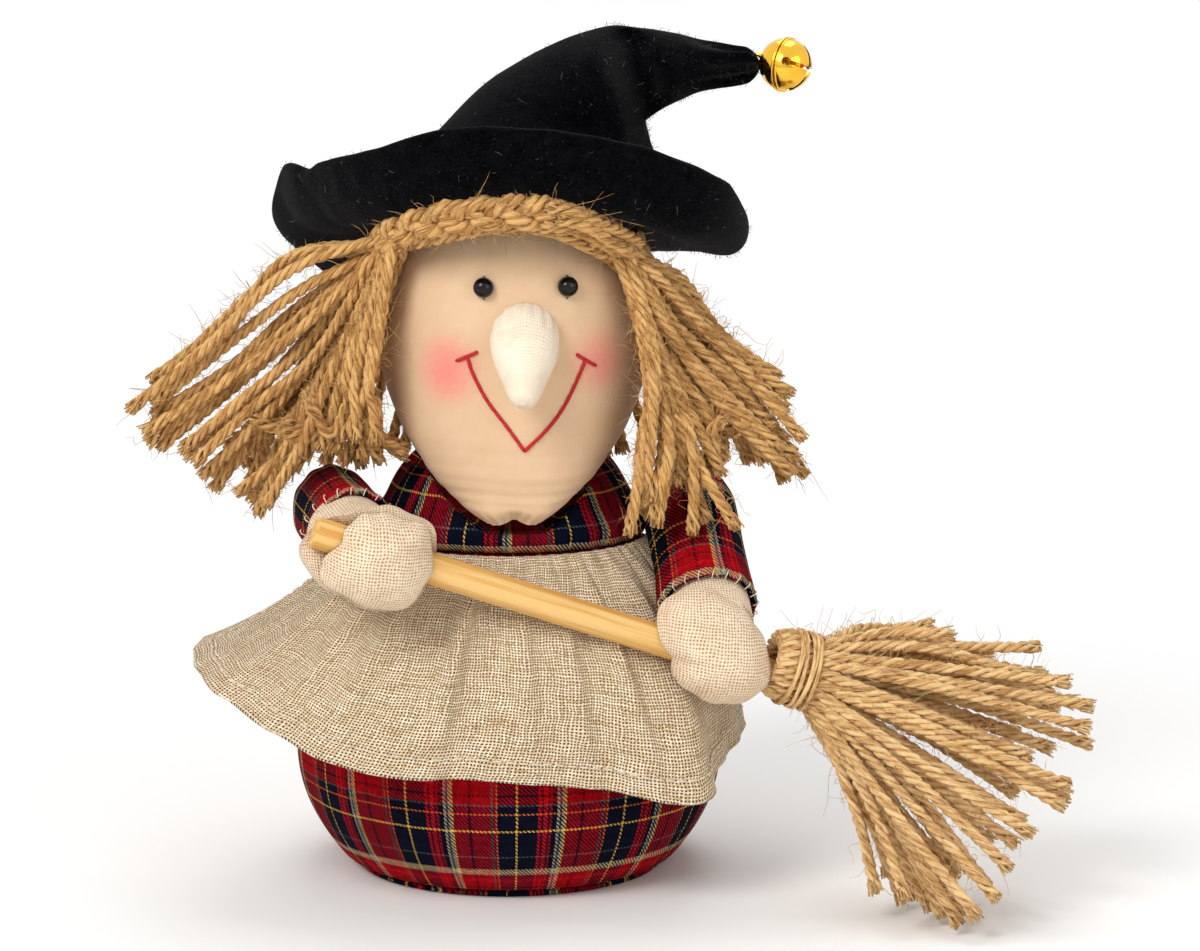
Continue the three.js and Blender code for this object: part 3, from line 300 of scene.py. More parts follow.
def ball(name, round_steps, tall_steps, place, weave):
    """A sphere primitive whose every point is moved to place(u, v), with u round it and v from its lower
    pole to its upper one, both from 0 to 1. weave(u, v) gives the cloth's threads in millimetres."""
    made = fresh(name, bpy.ops.mesh.primitive_uv_sphere_add, segments=round_steps, ring_count=tall_steps,
                 radius=1)
    start = np.array([v.co for v in made.data.vertices])
    u = (np.arctan2(start[:, 1], start[:, 0]) / TAU) % 1
    v = np.arccos(np.clip(-start[:, 2], -1, 1)) / math.pi
    u, v = np.round(u * round_steps) / round_steps % 1, np.round(v * tall_steps) / tall_steps
    set_points(made, place(u, v))
    made.data.attributes.new("tall", "FLOAT", "POINT").data.foreach_set("value", v)
    threads = made.data.uv_layers[0]
    threads.name = "weave"
    flat = np.zeros((len(made.data.loops), 2))
    for face in made.data.polygons:
        turn, tall = u[list(face.vertices)], v[list(face.vertices)]
        pole = np.isin(tall, (0, 1))
        if turn[~pole].max() - turn[~pole].min() > 0.5:
            turn = np.where(turn < 0.5, turn + 1, turn)
        turn[pole] = turn[~pole].mean()
        flat[list(face.loop_indices)] = np.column_stack([turn, tall])
    threads.data.foreach_set("uv", np.column_stack(weave(flat[:, 0], flat[:, 1])).ravel())
    made.data.shade_smooth()
    made.data.update()
    edit_whole(FACED_OUT)
    return made


def column_v(piece):
    """The share from the lower pole to the upper one of each point of a ball, as it was made."""
    shares = np.empty(len(piece.data.vertices))
    piece.data.attributes["tall"].data.foreach_get("value", shares)
    return shares


def stuff(piece, pressure, sewn, cap):
    """Blows the cloth up against its stuffing, by up to cap millimetres. sewn is 1 where a seam holds it."""
    start = np.array([v.co for v in piece.data.vertices])
    held = piece.vertex_groups.new(name="sewn")
    for index, weight in enumerate(np.clip(sewn, 0, 1)):
        if weight > 0:
            held.add([index], float(weight), "REPLACE")
    cloth = piece.modifiers.new("stuffing", "CLOTH")
    settings = cloth.settings
    settings.quality, settings.mass = 6, 0.2
    settings.tension_stiffness = settings.compression_stiffness = 25
    settings.shear_stiffness, settings.bending_stiffness = 8, 0.15
    settings.use_pressure, settings.uniform_pressure_force = True, pressure
    settings.vertex_group_mass = "sewn"
    settings.effector_weights.gravity = 0
    cloth.collision_settings.use_collision = False
    cloth.point_cache.frame_start, cloth.point_cache.frame_end = 1, CLOTH_FRAMES
    for step in range(1, CLOTH_FRAMES + 1):
        bpy.context.scene.frame_set(step)
    shown = piece.evaluated_get(bpy.context.evaluated_depsgraph_get())
    moved = np.array([v.co for v in shown.to_mesh().vertices]) - start
    shown.to_mesh_clear()
    far = np.linalg.norm(moved, axis=1, keepdims=True)
    moved *= np.minimum(1, cap * MM / np.maximum(far, 1e-9))
    piece.modifiers.remove(cloth)
    bpy.context.scene.frame_set(1)
    piece.data.vertices.foreach_set("co", (start + moved).ravel())
    piece.data.update()


def apply(piece, kind, **settings):
    """Adds a modifier to the piece and applies it."""
    pick(piece)
    made = piece.modifiers.new(kind.lower(), kind)
    for name, value in settings.items():
        setattr(made, name, value)
    bpy.ops.object.modifier_apply(modifier=made.name)


def hidden_finish(name, tones, scale, settings):
    """A finish of two tones with a soft, lumpy surface."""
    material, tree, shader = finish(name, settings)
    spots = noise(tree, object_point(tree), scale, 4.0)
    paint(tree, shader, blended(tree, spots, *tones), spots, 0.4, 0.0004)
    return material


FIBRE_TONES = ("#e9e7e1", "#fbfaf7")
fibre = hidden_finish("loose polyester fibre", FIBRE_TONES, 420.0, {"Roughness": 1.0, "Sheen Weight": 0.2})


def filling(cloth, node, gap):
    """The loose fibre in a cloth: the cloth's own shape, that many millimetres inside it."""
    pick(cloth)
    bpy.ops.object.duplicate()
    made = bpy.context.object
    made.name = made.data.name = node + "_fibre"
    inside = np.array([v.co - v.normal * gap * MM for v in made.data.vertices])
    made.data.vertices.foreach_set("co", inside.ravel())
    dress(made, fibre, "stuffing", "doll", node)


def woven(tree, pitch, repeat, wander):
    """Threads of that pitch, in millimetres of the piece's weave map. Gives the coordinates, whether the
    warp lies on top, the height of the cloth, and how far a spot is from being a gap between threads."""
    flat = weave_point(tree)
    drift = put(tree, "TexNoise", {"Vector": flat, "Scale": 0.16, "Detail": 2.0}).outputs["Color"]
    centred = calc(tree, "SUBTRACT", drift, (0.5, 0.5, 0.5), kind="VectorMath")
    moved = calc(tree, "MULTIPLY_ADD", centred, (wander,) * 3, flat, kind="VectorMath")
    apart = put(tree, "SeparateXYZ", {0: moved}).outputs
    rounds, counts = [], []
    for axis in (0, 1):
        wave = calc(tree, "SINE", calc(tree, "MULTIPLY", apart[axis], math.pi / pitch))
        rounds.append(calc(tree, "ABSOLUTE", wave))
        counts.append(calc(tree, "FLOOR", calc(tree, "MULTIPLY", apart[axis], 1 / pitch)))
    step = calc(tree, "FLOORED_MODULO", calc(tree, "ADD", *counts), repeat)
    over = calc(tree, "LESS_THAN", step, repeat / 2 - 0.5)
    heights = [calc(tree, "MULTIPLY", crest, calc(tree, "MULTIPLY_ADD", dip, 0.4, 0.6))
               for crest, dip in (rounds[::-1], rounds)]
    height = put(tree, "Mix", {0: over, 2: heights[0], 3: heights[1]}).outputs[0]
    return moved, apart, over, height, calc(tree, "MAXIMUM", *rounds)


def tartan_finish():
    """Cotton tartan in a small twill: red, navy and maroon where they cross, with fine coloured lines.
    The threads are drawn 0.28 mm wide."""
    material, tree, shader = finish("woven cotton tartan", {"Roughness": 1.0, "Specular IOR Level": 0.05})
    yarns = {"red": "#a20914", "bright": "#c70f1c", "dark": "#4a070c", "navy": "#0a0e20", "black": "#070810",
             "yellow": "#dab04c", "white": "#a79f8b", "grey": "#48524f", "orange": "#c5642a"}
    warp = [("yellow", 0), ("navy", 0.25), ("bright", 5.4), ("dark", 6.2), ("bright", 6.7), ("dark", 7.9),
            ("red", 8.3), ("navy", 9.0), ("white", 10.3), ("grey", 10.9), ("white", 11.5), ("yellow", 12.2),
            ("red", 12.7), ("dark", 16.6), ("red", 17.4), ("grey", 22.4), ("red", 22.9), ("orange", 23.6),
            ("navy", 24.1), ("yellow", 28.73)]
    weft = [("yellow", 0), ("navy", 0.25), ("orange", 4.5), ("navy", 4.9), ("grey", 6.7), ("red", 7.2),
            ("dark", 9.2), ("red", 9.8), ("bright", 12.0), ("red", 13.2), ("white", 14.9), ("yellow", 15.7),
            ("white", 16.2), ("navy", 17.0), ("grey", 21.0), ("navy", 21.5), ("black", 25.0), ("navy", 26.0),
            ("yellow", 28.73)]
    _, apart, over, height, _ = woven(tree, 0.28, 4, 0.35)
    tones = []
    for axis, order in ((0, warp), (1, weft)):
        ramp = put(tree, "ValToRGB", {0: calc(tree, "FRACT", calc(tree, "MULTIPLY", apart[axis], 1 / SETT))})
        ramp.color_ramp.interpolation = "CONSTANT"
        stops = ramp.color_ramp.elements
        stops.remove(stops[1])
        for index, (yarn, start) in enumerate(order):
            stop = stops[0] if index == 0 else stops.new(start / SETT)
            stop.color = linear(yarns[yarn])
        tones.append(ramp.outputs[0])
    mixed = blended(tree, over, tones[1], tones[0])
    worn = mapped(tree, noise(tree, object_point(tree), 900.0, 3.0), 0.3, 0.7, 0.62, 1.2)
    toned = put(tree, "HueSaturation", {"Color": mixed, "Value": worn})
    paint(tree, shader, toned.outputs[0], height, 0.5, 0.00022)
    return material


tartan = tartan_finish()
side_heights = SACK_LOW + (WAIST_HEIGHT - SACK_LOW) * np.linspace(0, 1, 200)
side_lengths = np.concatenate([[0], np.cumsum(np.hypot(np.diff(side_heights), np.diff(belly(side_heights))))])


def sack_place(u, v):
    """The flat bottom, the side, and a flat top that the bodice hides."""
    side = np.clip((v - SACK_BOTTOM) / SACK_SIDE, 0, 1)
    height = np.interp(side * side_lengths[-1], side_lengths, side_heights)
    radius = belly(height) - 0.4
    angle = from_front(u)
    pucker = np.sin(angle * 44 + 2 * np.sin(angle * 5)) * 0.45 * (1 - smooth(height, 2, 11))
    pucker += np.sin(angle * 36 + 3 * np.sin(angle * 3)) * 0.4 * smooth(height, 74, 84)
    radius = (radius + pucker) * np.minimum(v / SACK_BOTTOM, 1) * np.minimum((1 - v) / SACK_TOP, 1)
    return upright(radius, angle, height)


def sack_weave(u, v):
    side = np.clip((v - SACK_BOTTOM) / SACK_SIDE, 0, 1) * side_lengths[-1]
    return (u - 0.25) * 12 * SETT - 2.9 / 30 * SETT, side - 21.5


sack = ball("sack_body", 120, 72, sack_place, sack_weave)
up = points_of(sack)[:, 2]
stuff(sack, 3, 1.15 - smooth(up, 2, 8) + smooth(up, 76, 83), 0.7)
at = points_of(sack)
out = at * [1, 1, 0] / np.maximum(np.linalg.norm(at[:, :2], axis=1, keepdims=True), 1)
at += out * (lumps(at, 34, 5) * 0.35 * smooth(at[:, 2], 3, 14))[:, None]
set_points(sack, at)
sack.data.update()
filling(sack, "body_filling", 1.6)
apply(sack, "SUBSURF", levels=1, render_levels=1)
dress(sack, tartan, "tartan", "doll", "lower_body")

# Base cloth
# The same tartan, drawn over the stiff round base, so that the doll stands on a flat bottom. The
# pattern runs straight across it.

BASE_RADIUS, BASE_THICKNESS = 38.5, 1.6
BASE_FLAT, BASE_RIM = 0.42, 0.16  # shares of the ball's height that each flat and the rim between them take


def base_place(u, v):
    rim = BASE_THICKNESS / 2
    turn = (np.clip((v - BASE_FLAT) / BASE_RIM, 0, 1) - 0.5) * math.pi
    flat = np.minimum(np.where(v < 0.5, v, 1 - v) / BASE_FLAT, 1)
    radius = (BASE_RADIUS - rim) * flat + rim * np.cos(turn) * (flat >= 1)
    return upright(radius, from_front(u), rim * (1 + np.sin(turn)))


base_cloth = ball("base_cloth", 96, 24, base_place, lambda u, v: base_place(u, v)[:, :2].T)
dress(base_cloth, tartan, "tartan", "doll", "base_panel")

# Head
# Tea-coloured cotton, stuffed hard, with its lower end drawn together by a gathering thread under the
# chin. That thread leaves a notch between two soft lobes, and stretch lines that bow round them.

HEAD_BASE = np.array([1.5, 1.0, 89.5])
HEAD_HEIGHT, HEAD_WIDTH, HEAD_DEPTH, CHIN_FORWARD = 88.5, 69.0, 63.0, 28.0
# Shares of the height, of the half width, of the half depth and of the chin's lean
HEAD_SHARES = np.array([
    (0, 0.22, 0.19, 1), (0.03, 0.33, 0.3, 0.94), (0.08, 0.46, 0.42, 0.81), (0.16, 0.63, 0.58, 0.6),
    (0.27, 0.83, 0.82, 0.29), (0.46, 1, 0.98, 0.04), (0.59, 0.99, 1.01, 0), (0.72, 0.91, 0.95, -0.02),
    (0.86, 0.7, 0.76, -0.03), (0.95, 0.42, 0.45, -0.03), (1, 0.1, 0.1, -0.03),
])
HEAD_GATHER = 0.05  # share of the ball's height that the gathered end takes
NOTCH = 0.06  # angle of the notch from the middle of the face


def follow(stations, place):
    """A smooth line through each of the stations' columns, read at places along the first column."""
    at = stations[:, 0]
    before, after = np.maximum(np.arange(len(at)) - 1, 0), np.minimum(np.arange(len(at)) + 1, len(at) - 1)
    slopes = (stations[after] - stations[before]) / (at[after] - at[before])[:, None]
    place = np.clip(place, at[0], at[-1])
    k = np.clip(np.searchsorted(at, place) - 1, 0, len(at) - 2)
    span = (at[k + 1] - at[k])[:, None]
    t = ((place - at[k])[:, None]) / span
    line = (2 * t ** 3 - 3 * t ** 2 + 1) * stations[k] + (t ** 3 - 2 * t ** 2 + t) * span * slopes[k]
    line += (3 * t ** 2 - 2 * t ** 3) * stations[k + 1] + (t ** 3 - t ** 2) * span * slopes[k + 1]
    return line[:, 1:].T


def head_sizes(level):
    """Half width, half depth and forward shift of the head at levels above its lower end."""
    wide, deep, lean = follow(HEAD_SHARES, np.asarray(level, float) / HEAD_HEIGHT)
    return wide * HEAD_WIDTH / 2, deep * HEAD_DEPTH / 2, lean * CHIN_FORWARD


def on_head(angle, level, stand_off):
    """Points stood off from the head; the angle runs from the face towards the viewer's right."""
    angle, level, stand_off = np.broadcast_arrays(angle, level, stand_off)
    wide, deep, lean = head_sizes(level.ravel())
    angle, stand_off = angle.ravel(), stand_off.ravel()
    return HEAD_BASE + np.column_stack([(wide + stand_off) * np.sin(angle),
                                        -lean - (deep + stand_off) * np.cos(angle), level.ravel()])


def head_level(v):
    return HEAD_HEIGHT * (1 - np.cos(math.pi * np.clip((v - HEAD_GATHER) / (1 - HEAD_GATHER), 0, 1))) / 2


def head_place(u, v):
    """The gathered end, then the head."""
    level, angle = head_level(v), from_front(u)
    turn = np.mod(angle - NOTCH + math.pi, TAU) - math.pi
    front = np.exp(-(turn / 1.3) ** 2)
    tucks = np.sin(23 * angle + 2.2 * np.sin(2 * angle)) * (1 - smooth(level, 0, 5))
    bows = np.sin(1.75 * level + 2.4 * front + 0.9 * np.sin(3 * angle)) * smooth(level, 1.5, 6) \
        * (1 - smooth(level, 15, 27)) * (0.35 + 0.65 * front)
    sag = np.sin(0.62 * level - 0.8 * front) * (1 - smooth(level, 12, 26)) * front
    notch = np.exp(-(turn / 0.3) ** 2) * (1 - smooth(level, 1, 11))
    lobes = np.exp(-((np.abs(turn) - 0.62) / 0.42) ** 2) * (1 - smooth(level, 2, 12))
    out = -0.35 + 0.3 * tucks + 0.2 * bows + 0.3 * sag - 0.6 * notch + 0.6 * lobes
    made = on_head(angle, level, out)
    made[:, 2] += 2.6 * (1 - smooth(level, 0, 14)) + (1.0 * notch - 0.5 * lobes) * (1 - smooth(level, 1, 9))
    end = v < HEAD_GATHER
    share = (v[end] / HEAD_GATHER)[:, None]
    middle = HEAD_BASE + [0, -CHIN_FORWARD, 5]
    made[end] = middle + (made[end] - middle) * np.hstack([share ** 0.7, share ** 0.7, share ** 3])
    return made


def head_weave(u, v):
    level = head_level(v)
    return head_sizes(level)[0] * (u - 0.25) * TAU, level + 0.8 * np.maximum(level - 60, 0)


def cotton_finish(name, tone, dark, pitch, depth, show, extra=None):
    """Plain woven cotton, matt and a little uneven in tone; show is how far the gaps between threads take the
    dark tone, which is painted shade.
    """
    material, tree, shader = finish(name, {"Roughness": 0.9, "Sheen Weight": 0.08, "Sheen Roughness": 0.5,
                                           "Specular IOR Level": 0.2})
    moved, _, _, height, solid = woven(tree, pitch, 2, 2.2 * pitch)
    shade = mapped(tree, noise(tree, object_point(tree), 160.0, 4.0), 0.3, 0.7, 0.0, 0.22)
    # Painted shade: the gaps between threads go towards the dark tone, as far as show says.
    gap = mapped(tree, solid, 0.5, 0.86, show, 0.0)
    uneven = mapped(tree, noise(tree, moved, 0.8), 0.35, 0.65, 0.45, 1.4)
    colour = blended(tree, calc(tree, "MULTIPLY_ADD", gap, uneven, shade), tone, dark)
    if extra:
        colour = extra(tree, colour)
    paint(tree, shader, colour, height, 0.3 + 0.4 * show, depth)
    return material


CHEEKS = [(-15.4, -29.5, 129.2), (25.4, -28.0, 131.0)]


def blush(tree, colour):
    """Dry colour dabbed on both cheeks, strongest in the middle."""
    here = object_point(tree)
    grain = noise(tree, here, 700.0, 3.0)
    for cheek in CHEEKS:
        rough = calc(tree, "MULTIPLY_ADD", grain, 0.003, distance(tree, here, [c * MM for c in cheek]))
        dab = mapped(tree, rough, 0.003, 0.0136, 0.85, 0.0, interpolation_type="SMOOTHSTEP")
        colour = blended(tree, dab, colour, "#ee837c")
    return colour


# Threads 0.3 mm apart on the real cloth, drawn 0.5 mm apart
skin = cotton_finish("plain woven cotton", "#dfbf9c", "#c89a6c", 0.5, 0.00012, 0.12, blush)

head = ball("head_cloth", 144, 96, head_place, head_weave)
level = points_of(head)[:, 2] - HEAD_BASE[2]
stuff(head, 3, 1 - smooth(level, 10, 30) + smooth(level, 70, 80), 0.5)
filling(head, "head_filling", 1.3)
dress(head, skin, "skin", "doll", "head_cover")
face = BVHTree.FromObject(head, bpy.context.evaluated_depsgraph_get())


def on_face(x, z, stand_off=0.0):
    """The point of the face at x and z, in millimetres, stood off along the cloth's normal."""
    place, normal, _, _ = face.ray_cast(Vector((x * MM, -0.2, z * MM)), Vector((0, 1, 0)))
    return np.array(place) / MM + stand_off * np.array(normal)


# Bodice
# The upper body is a smaller bag of the same tartan, sewn on above the waist. The head and both
# shoulders are sewn into it, and the cloth is drawn in under the chin.

BODICE_LOW, BODICE_HEIGHT, BODICE_DEPTH = WAIST_HEIGHT + 0.3, 29.0, 0.93
BODICE_FLAT = 0.08  # share of the ball's height that the flat underside takes


def under_head(points, gap):
    """Lowers points that lie inside the head to just under it."""
    levels = np.arange(0, 40, 0.5)
    wide, deep, lean = head_sizes(levels)
    off = points[:, None, :2] - HEAD_BASE[:2]
    inside = (off[..., 0] / (wide + gap)) ** 2 + ((off[..., 1] + lean) / (deep + gap)) ** 2 < 1
    first = np.where(inside.any(axis=1), levels[inside.argmax(axis=1)], 1e3)
    points[:, 2] = np.minimum(points[:, 2], np.maximum(HEAD_BASE[2] + first - gap, BODICE_LOW + 2))
    return points


def dome_share(v):
    return np.clip((v - BODICE_FLAT) / (1 - BODICE_FLAT), 0, 1) ** 0.9


def bodice_place(u, v):
    """The flat underside, then the dome with the hollow that the head sits in."""
    turn, angle = math.pi / 2 * dome_share(v), from_front(u)
    puckers = 0.4 * np.sin(31 * angle + 2 * np.sin(4 * angle)) * (1 - smooth(turn, 0.02, 0.3))
    drawn = 0.7 * np.sin(19 * angle + 3 * np.sin(2 * angle)) * smooth(turn, 0.3, 0.8)
    bulge = 2.2 * np.exp(-((turn - 0.13) / 0.13) ** 2)
    radius = (WAIST_RADIUS - 0.5 + bulge + puckers + drawn) * np.cos(turn) * np.minimum(v / BODICE_FLAT, 1)
    points = upright(radius, angle, BODICE_LOW + BODICE_HEIGHT * np.sin(turn)) * [1, BODICE_DEPTH, 1]
    return under_head(points, 0.5)


def bodice_weave(u, v):
    rise = (WAIST_RADIUS + BODICE_HEIGHT) / 2 * math.pi / 2 * dome_share(v)
    return ((u - 0.25) * 360 + 17.6) / 45 * SETT, rise + 14.9


bodice = ball("bodice_cloth", 128, 48, bodice_place, bodice_weave)
up = points_of(bodice)[:, 2]
stuff(bodice, 1, 1 - smooth(up, BODICE_LOW + 1, 90) + smooth(up, 96, 100), 0.3)
filling(bodice, "chest_filling", 1.3)
dress(bodice, tartan, "tartan", "doll", "bodice")

# Nose
# A cone of the hands' cream muslin, closed by a seam along its underside, stuffed and sewn flat to
# the face with its tip pointing forward and down.

NOSE_PITCH, NOSE_LENGTH, NOSE_TUCK = math.radians(38), 25.0, 3.0
NOSE_CLOSED = 0.06  # share of the ball's height that its closed back takes
NOSE_WAY = np.array([0, -math.cos(NOSE_PITCH), -math.sin(NOSE_PITCH)])
NOSE_DOWN = np.array([0, math.sin(NOSE_PITCH), -math.cos(NOSE_PITCH)])
NOSE_START = on_head(0, 49.5, -3.0)[0] + [3.1, 0, 0]
NOSE_OUTLINE = np.array([
    (-3, 6.8), (0, 8.1), (4, 8.6), (9, 8.0), (14, 6.5), (18.5, 5.1), (22, 4.0), (24, 2.7), (25, 0),
])


def nose_place(u, v):
    angle = from_front(u)  # 0 below, where the seam is
    share = np.clip((v - NOSE_CLOSED) / (1 - NOSE_CLOSED), 0, 1)
    along = -NOSE_TUCK + (NOSE_LENGTH + NOSE_TUCK) * np.sin(share * math.pi / 2) ** 0.95
    wide = follow(NOSE_OUTLINE, along)[0] * np.minimum(v / NOSE_CLOSED, 1)
    seam = 0.45 * np.exp(-((np.mod(angle + math.pi, TAU) - math.pi) / 0.09) ** 2) * smooth(along, -3, 2)
    tucks = 0.22 * np.sin(15 * angle + np.sin(2 * angle)) * (1 - smooth(along, 0, 9))
    wide = np.maximum(wide - 0.25 + (tucks - seam) * (wide > 2), 0)
    return round_line((NOSE_START, NOSE_WAY, [1, 0, 0], NOSE_DOWN), along, wide, angle)


def nose_weave(u, v):
    return from_front(u) * 7.2, (NOSE_LENGTH + NOSE_TUCK) * v - NOSE_TUCK


# Open-weave muslin, with tan shadow between its threads: they are 0.68 mm apart on the real cloth, and
# drawn 0.74 mm apart on the hands and 0.6 mm on the nose, where the cloth is drawn tight
muslin = cotton_finish("open-weave muslin", "#f8e7cc", "#b67d42", 0.74, 0.0003, 1.0)
nose_muslin = cotton_finish("open-weave muslin, drawn tight", "#fbf0dc", "#d0a878", 0.6, 0.0002, 0.35)
nose = ball("nose_cloth", 72, 48, nose_place, nose_weave)
forward = (points_of(nose) - NOSE_START) @ NOSE_WAY
stuff(nose, 2, 1 - smooth(forward, 1, 8), 0.35)
dress(nose, nose_muslin, "muslin", "doll", "nose")

# Eyes
# Two black glass-like beads, each held by a black thread that enters its hole from above and below.

BEAD_RADIUS, BEAD_HOLE = 2.5, 0.4
BEAD_POLE = 0.06  # share of the ball's height that the wall of the hole takes at each end
EYES = {"right_eye": (-5.2, 149.3), "left_eye": (14.6, 149.3)}


def frames(points):
    """Unit vectors along a line, and two square to it, at each of its points."""
    ahead = np.gradient(points, axis=0)
    ahead /= np.linalg.norm(ahead, axis=1, keepdims=True)
    least = np.linalg.svd(ahead, full_matrices=False)[2][2]
    side = np.cross(least, ahead)
    side /= np.linalg.norm(side, axis=1, keepdims=True)
    return ahead, side, np.cross(ahead, side)


def through(points, spacing):
    """A smooth line through given points, with points about that many millimetres apart."""
    points = np.array(points, float)
    ends = np.vstack([2 * points[0] - points[1], points, 2 * points[-1] - points[-2]])
    t = np.linspace(0, 1, 20, endpoint=False)[:, None]
    parts = [0.5 * (2 * b + (c - a) * t + (2 * a - 5 * b + 4 * c - d) * t ** 2
                    + (3 * b - a - 3 * c + d) * t ** 3)
             for a, b, c, d in zip(ends, ends[1:], ends[2:], ends[3:])]
    line = np.vstack([*parts, points[-1:]])
    run = run_along(line)
    return points_at(np.linspace(0, run[-1], max(round(run[-1] / spacing), 3) + 1), run, line)


def sweep(name, strands, sides):
    """Round strands swept along their routes, out of one long grid. Each strand is its points and its
    radii. The weave map runs round each strand and along it, in millimetres."""
    rings, threads, last_rows = [], [], []
    angle = np.linspace(0, TAU, sides + 1)
    for index, (points, radii) in enumerate(strands):
        _, side, over = frames(points)
        points, side, over, run = [np.concatenate([part[:1], part, part[-1:]])
                                   for part in (points, side, over, run_along(points))]
        radii = np.concatenate([[0], np.broadcast_to(radii, len(points) - 2), [0]])
        ring = np.cos(angle)[None, :, None] * side[:, None] + np.sin(angle)[None, :, None] * over[:, None]
        rings.append(points[:, None] + radii[:, None, None] * ring)
        # Each strand reads the weave somewhere else, so that no two are alike.
        around = angle * np.max(radii) + 7.3 * index
        threads.append(np.stack(np.broadcast_arrays(around[None, :], run[:, None] + 11.9 * index), axis=-1))
        last_rows.append(sum(len(part) for part in rings) - 1)
    place, threads = np.concatenate(rings), np.concatenate(threads)
    made = fresh(name, bpy.ops.mesh.primitive_grid_add, x_subdivisions=sides, y_subdivisions=len(place) - 1)
    mesh = made.data
    start = np.empty(len(mesh.vertices) * 3)
    mesh.vertices.foreach_get("co", start)
    start = start.reshape(-1, 3)
    column = np.round((start[:, 0] / start[:, 0].max() + 1) / 2 * sides).astype(int)
    row = np.round((start[:, 1] / start[:, 1].max() + 1) / 2 * (len(place) - 1)).astype(int)
    mesh.vertices.foreach_set("co", (place[row, column] * MM).ravel())
    corner = np.empty(len(mesh.loops), dtype=np.int32)
    mesh.loops.foreach_get("vertex_index", corner)
    mesh.uv_layers[0].name = "weave"
    mesh.uv_layers[0].data.foreach_set("uv", threads[row[corner], column[corner]].ravel())
    low_row = row[corner].reshape(-1, 4).min(axis=1)
    mesh.vertices.foreach_set("select", np.zeros(len(mesh.vertices), bool))
    mesh.edges.foreach_set("select", np.zeros(len(mesh.edges), bool))
    mesh.polygons.foreach_set("select", np.isin(low_row, last_rows))
    bpy.context.tool_settings.mesh_select_mode = (False, False, True)
    bpy.ops.object.mode_set(mode="EDIT")
    if len(strands) > 1:
        bpy.ops.mesh.delete(type="FACE")
    bpy.context.tool_settings.mesh_select_mode = (True, False, False)
    bpy.ops.mesh.select_all(action="SELECT")
    bpy.ops.mesh.remove_doubles(threshold=1e-6)
    bpy.ops.object.mode_set(mode="OBJECT")
    made.data.shade_smooth()
    return made


def thread_finish(name, tone, dark):
    """Twisted cotton thread: a soft sheen and a fine diagonal lay, with painted shade in the grooves of the
    lay.
    """
    material, tree, shader = finish(name, {"Roughness": 0.7, "Sheen Weight": 0.15, "Sheen Roughness": 0.4})
    apart = put(tree, "SeparateXYZ", {0: weave_point(tree)}).outputs
    slope = calc(tree, "MULTIPLY_ADD", apart[0], 2.0, apart[1])
    lay = calc(tree, "SINE", calc(tree, "MULTIPLY", slope, TAU / 0.9))
    # Painted shade: the dark tone follows the low side of the lay's relief, where the grooves are.
    paint(tree, shader, blended(tree, mapped(tree, lay, -1.0, 1.0), dark, tone), lay, 0.5, 0.0001)
    return material


# Tumbled beads are not quite even: faint waves on the surface break up the lamps' reflections.
glass, tree, shader = finish("polished black bead", {"Roughness": 0.07, "IOR": 1.3, "Coat Weight": 0.1,
                                                     "Coat Roughness": 0.03})
waves = noise(tree, object_point(tree), 500.0, 1.0)
paint(tree, shader, blended(tree, waves, "#060607", "#121214"), waves, 0.1, 0.0001)
black_thread = thread_finish("black sewing thread", "#1b1b1d", "#09090a")

for name, (x, z) in EYES.items():
    centre = on_face(x, z, 1.1)

    def bead_place(u, v):
        """The wall of the hole at each pole, then the bead."""
        pole = np.minimum(v, 1 - v)
        low = math.asin(BEAD_HOLE / BEAD_RADIUS)
        angle = low + (math.pi / 2 - low) * np.clip((pole - BEAD_POLE) / (0.5 - BEAD_POLE), 0, 1)
        radius = np.where(pole < BEAD_POLE, BEAD_HOLE * pole / BEAD_POLE, BEAD_RADIUS * np.sin(angle))
        sunk = BEAD_RADIUS * math.cos(low) - 0.8 * (1 - pole / BEAD_POLE)
        height = np.where(pole < BEAD_POLE, sunk, BEAD_RADIUS * np.cos(angle)) * np.where(v < 0.5, -1, 1)
        return centre + np.column_stack([radius * np.cos(u * TAU), radius * np.sin(u * TAU), height])

    dress(ball(name + "_bead", 48, 50, bead_place, lambda u, v: (u * 15, v * 8)), glass, "bead", "doll", name)
    ties = []
    for end in (-1, 1):
        hole = centre + [0, 0, end * (BEAD_RADIUS - 0.35)]
        skirt = centre + [0, -0.2, end * (BEAD_RADIUS + 0.15)]
        ties.append((through([hole, skirt, on_face(x, z + end * (BEAD_RADIUS + 0.35), -0.3)], 0.3), 0.13))
    dress(sweep(name + "_thread", ties, 6), black_thread, "bead", "doll")

# Mouth
# Red thread in backstitch: a wide V under the nose with a short bar across each of its ends.

MOUTH_CORNER = (4.5, 110.1)
MOUTH_RIGHT = [(-9.4, 132.6), (-8.0, 128.5), (-4.6, 122.2), (0.2, 116.0), MOUTH_CORNER]
MOUTH_LEFT = [MOUTH_CORNER, (9.4, 114.6), (13.1, 119.0), (15.9, 123.9), (19.2, 131.2)]
MOUTH_BARS = [[(-12.0, 131.5), (-7.0, 133.8)], [(17.1, 132.9), (21.6, 129.9)]]
STITCH, STITCH_RADIUS, ROUTE_STEP = 2.9, 0.47, 0.25

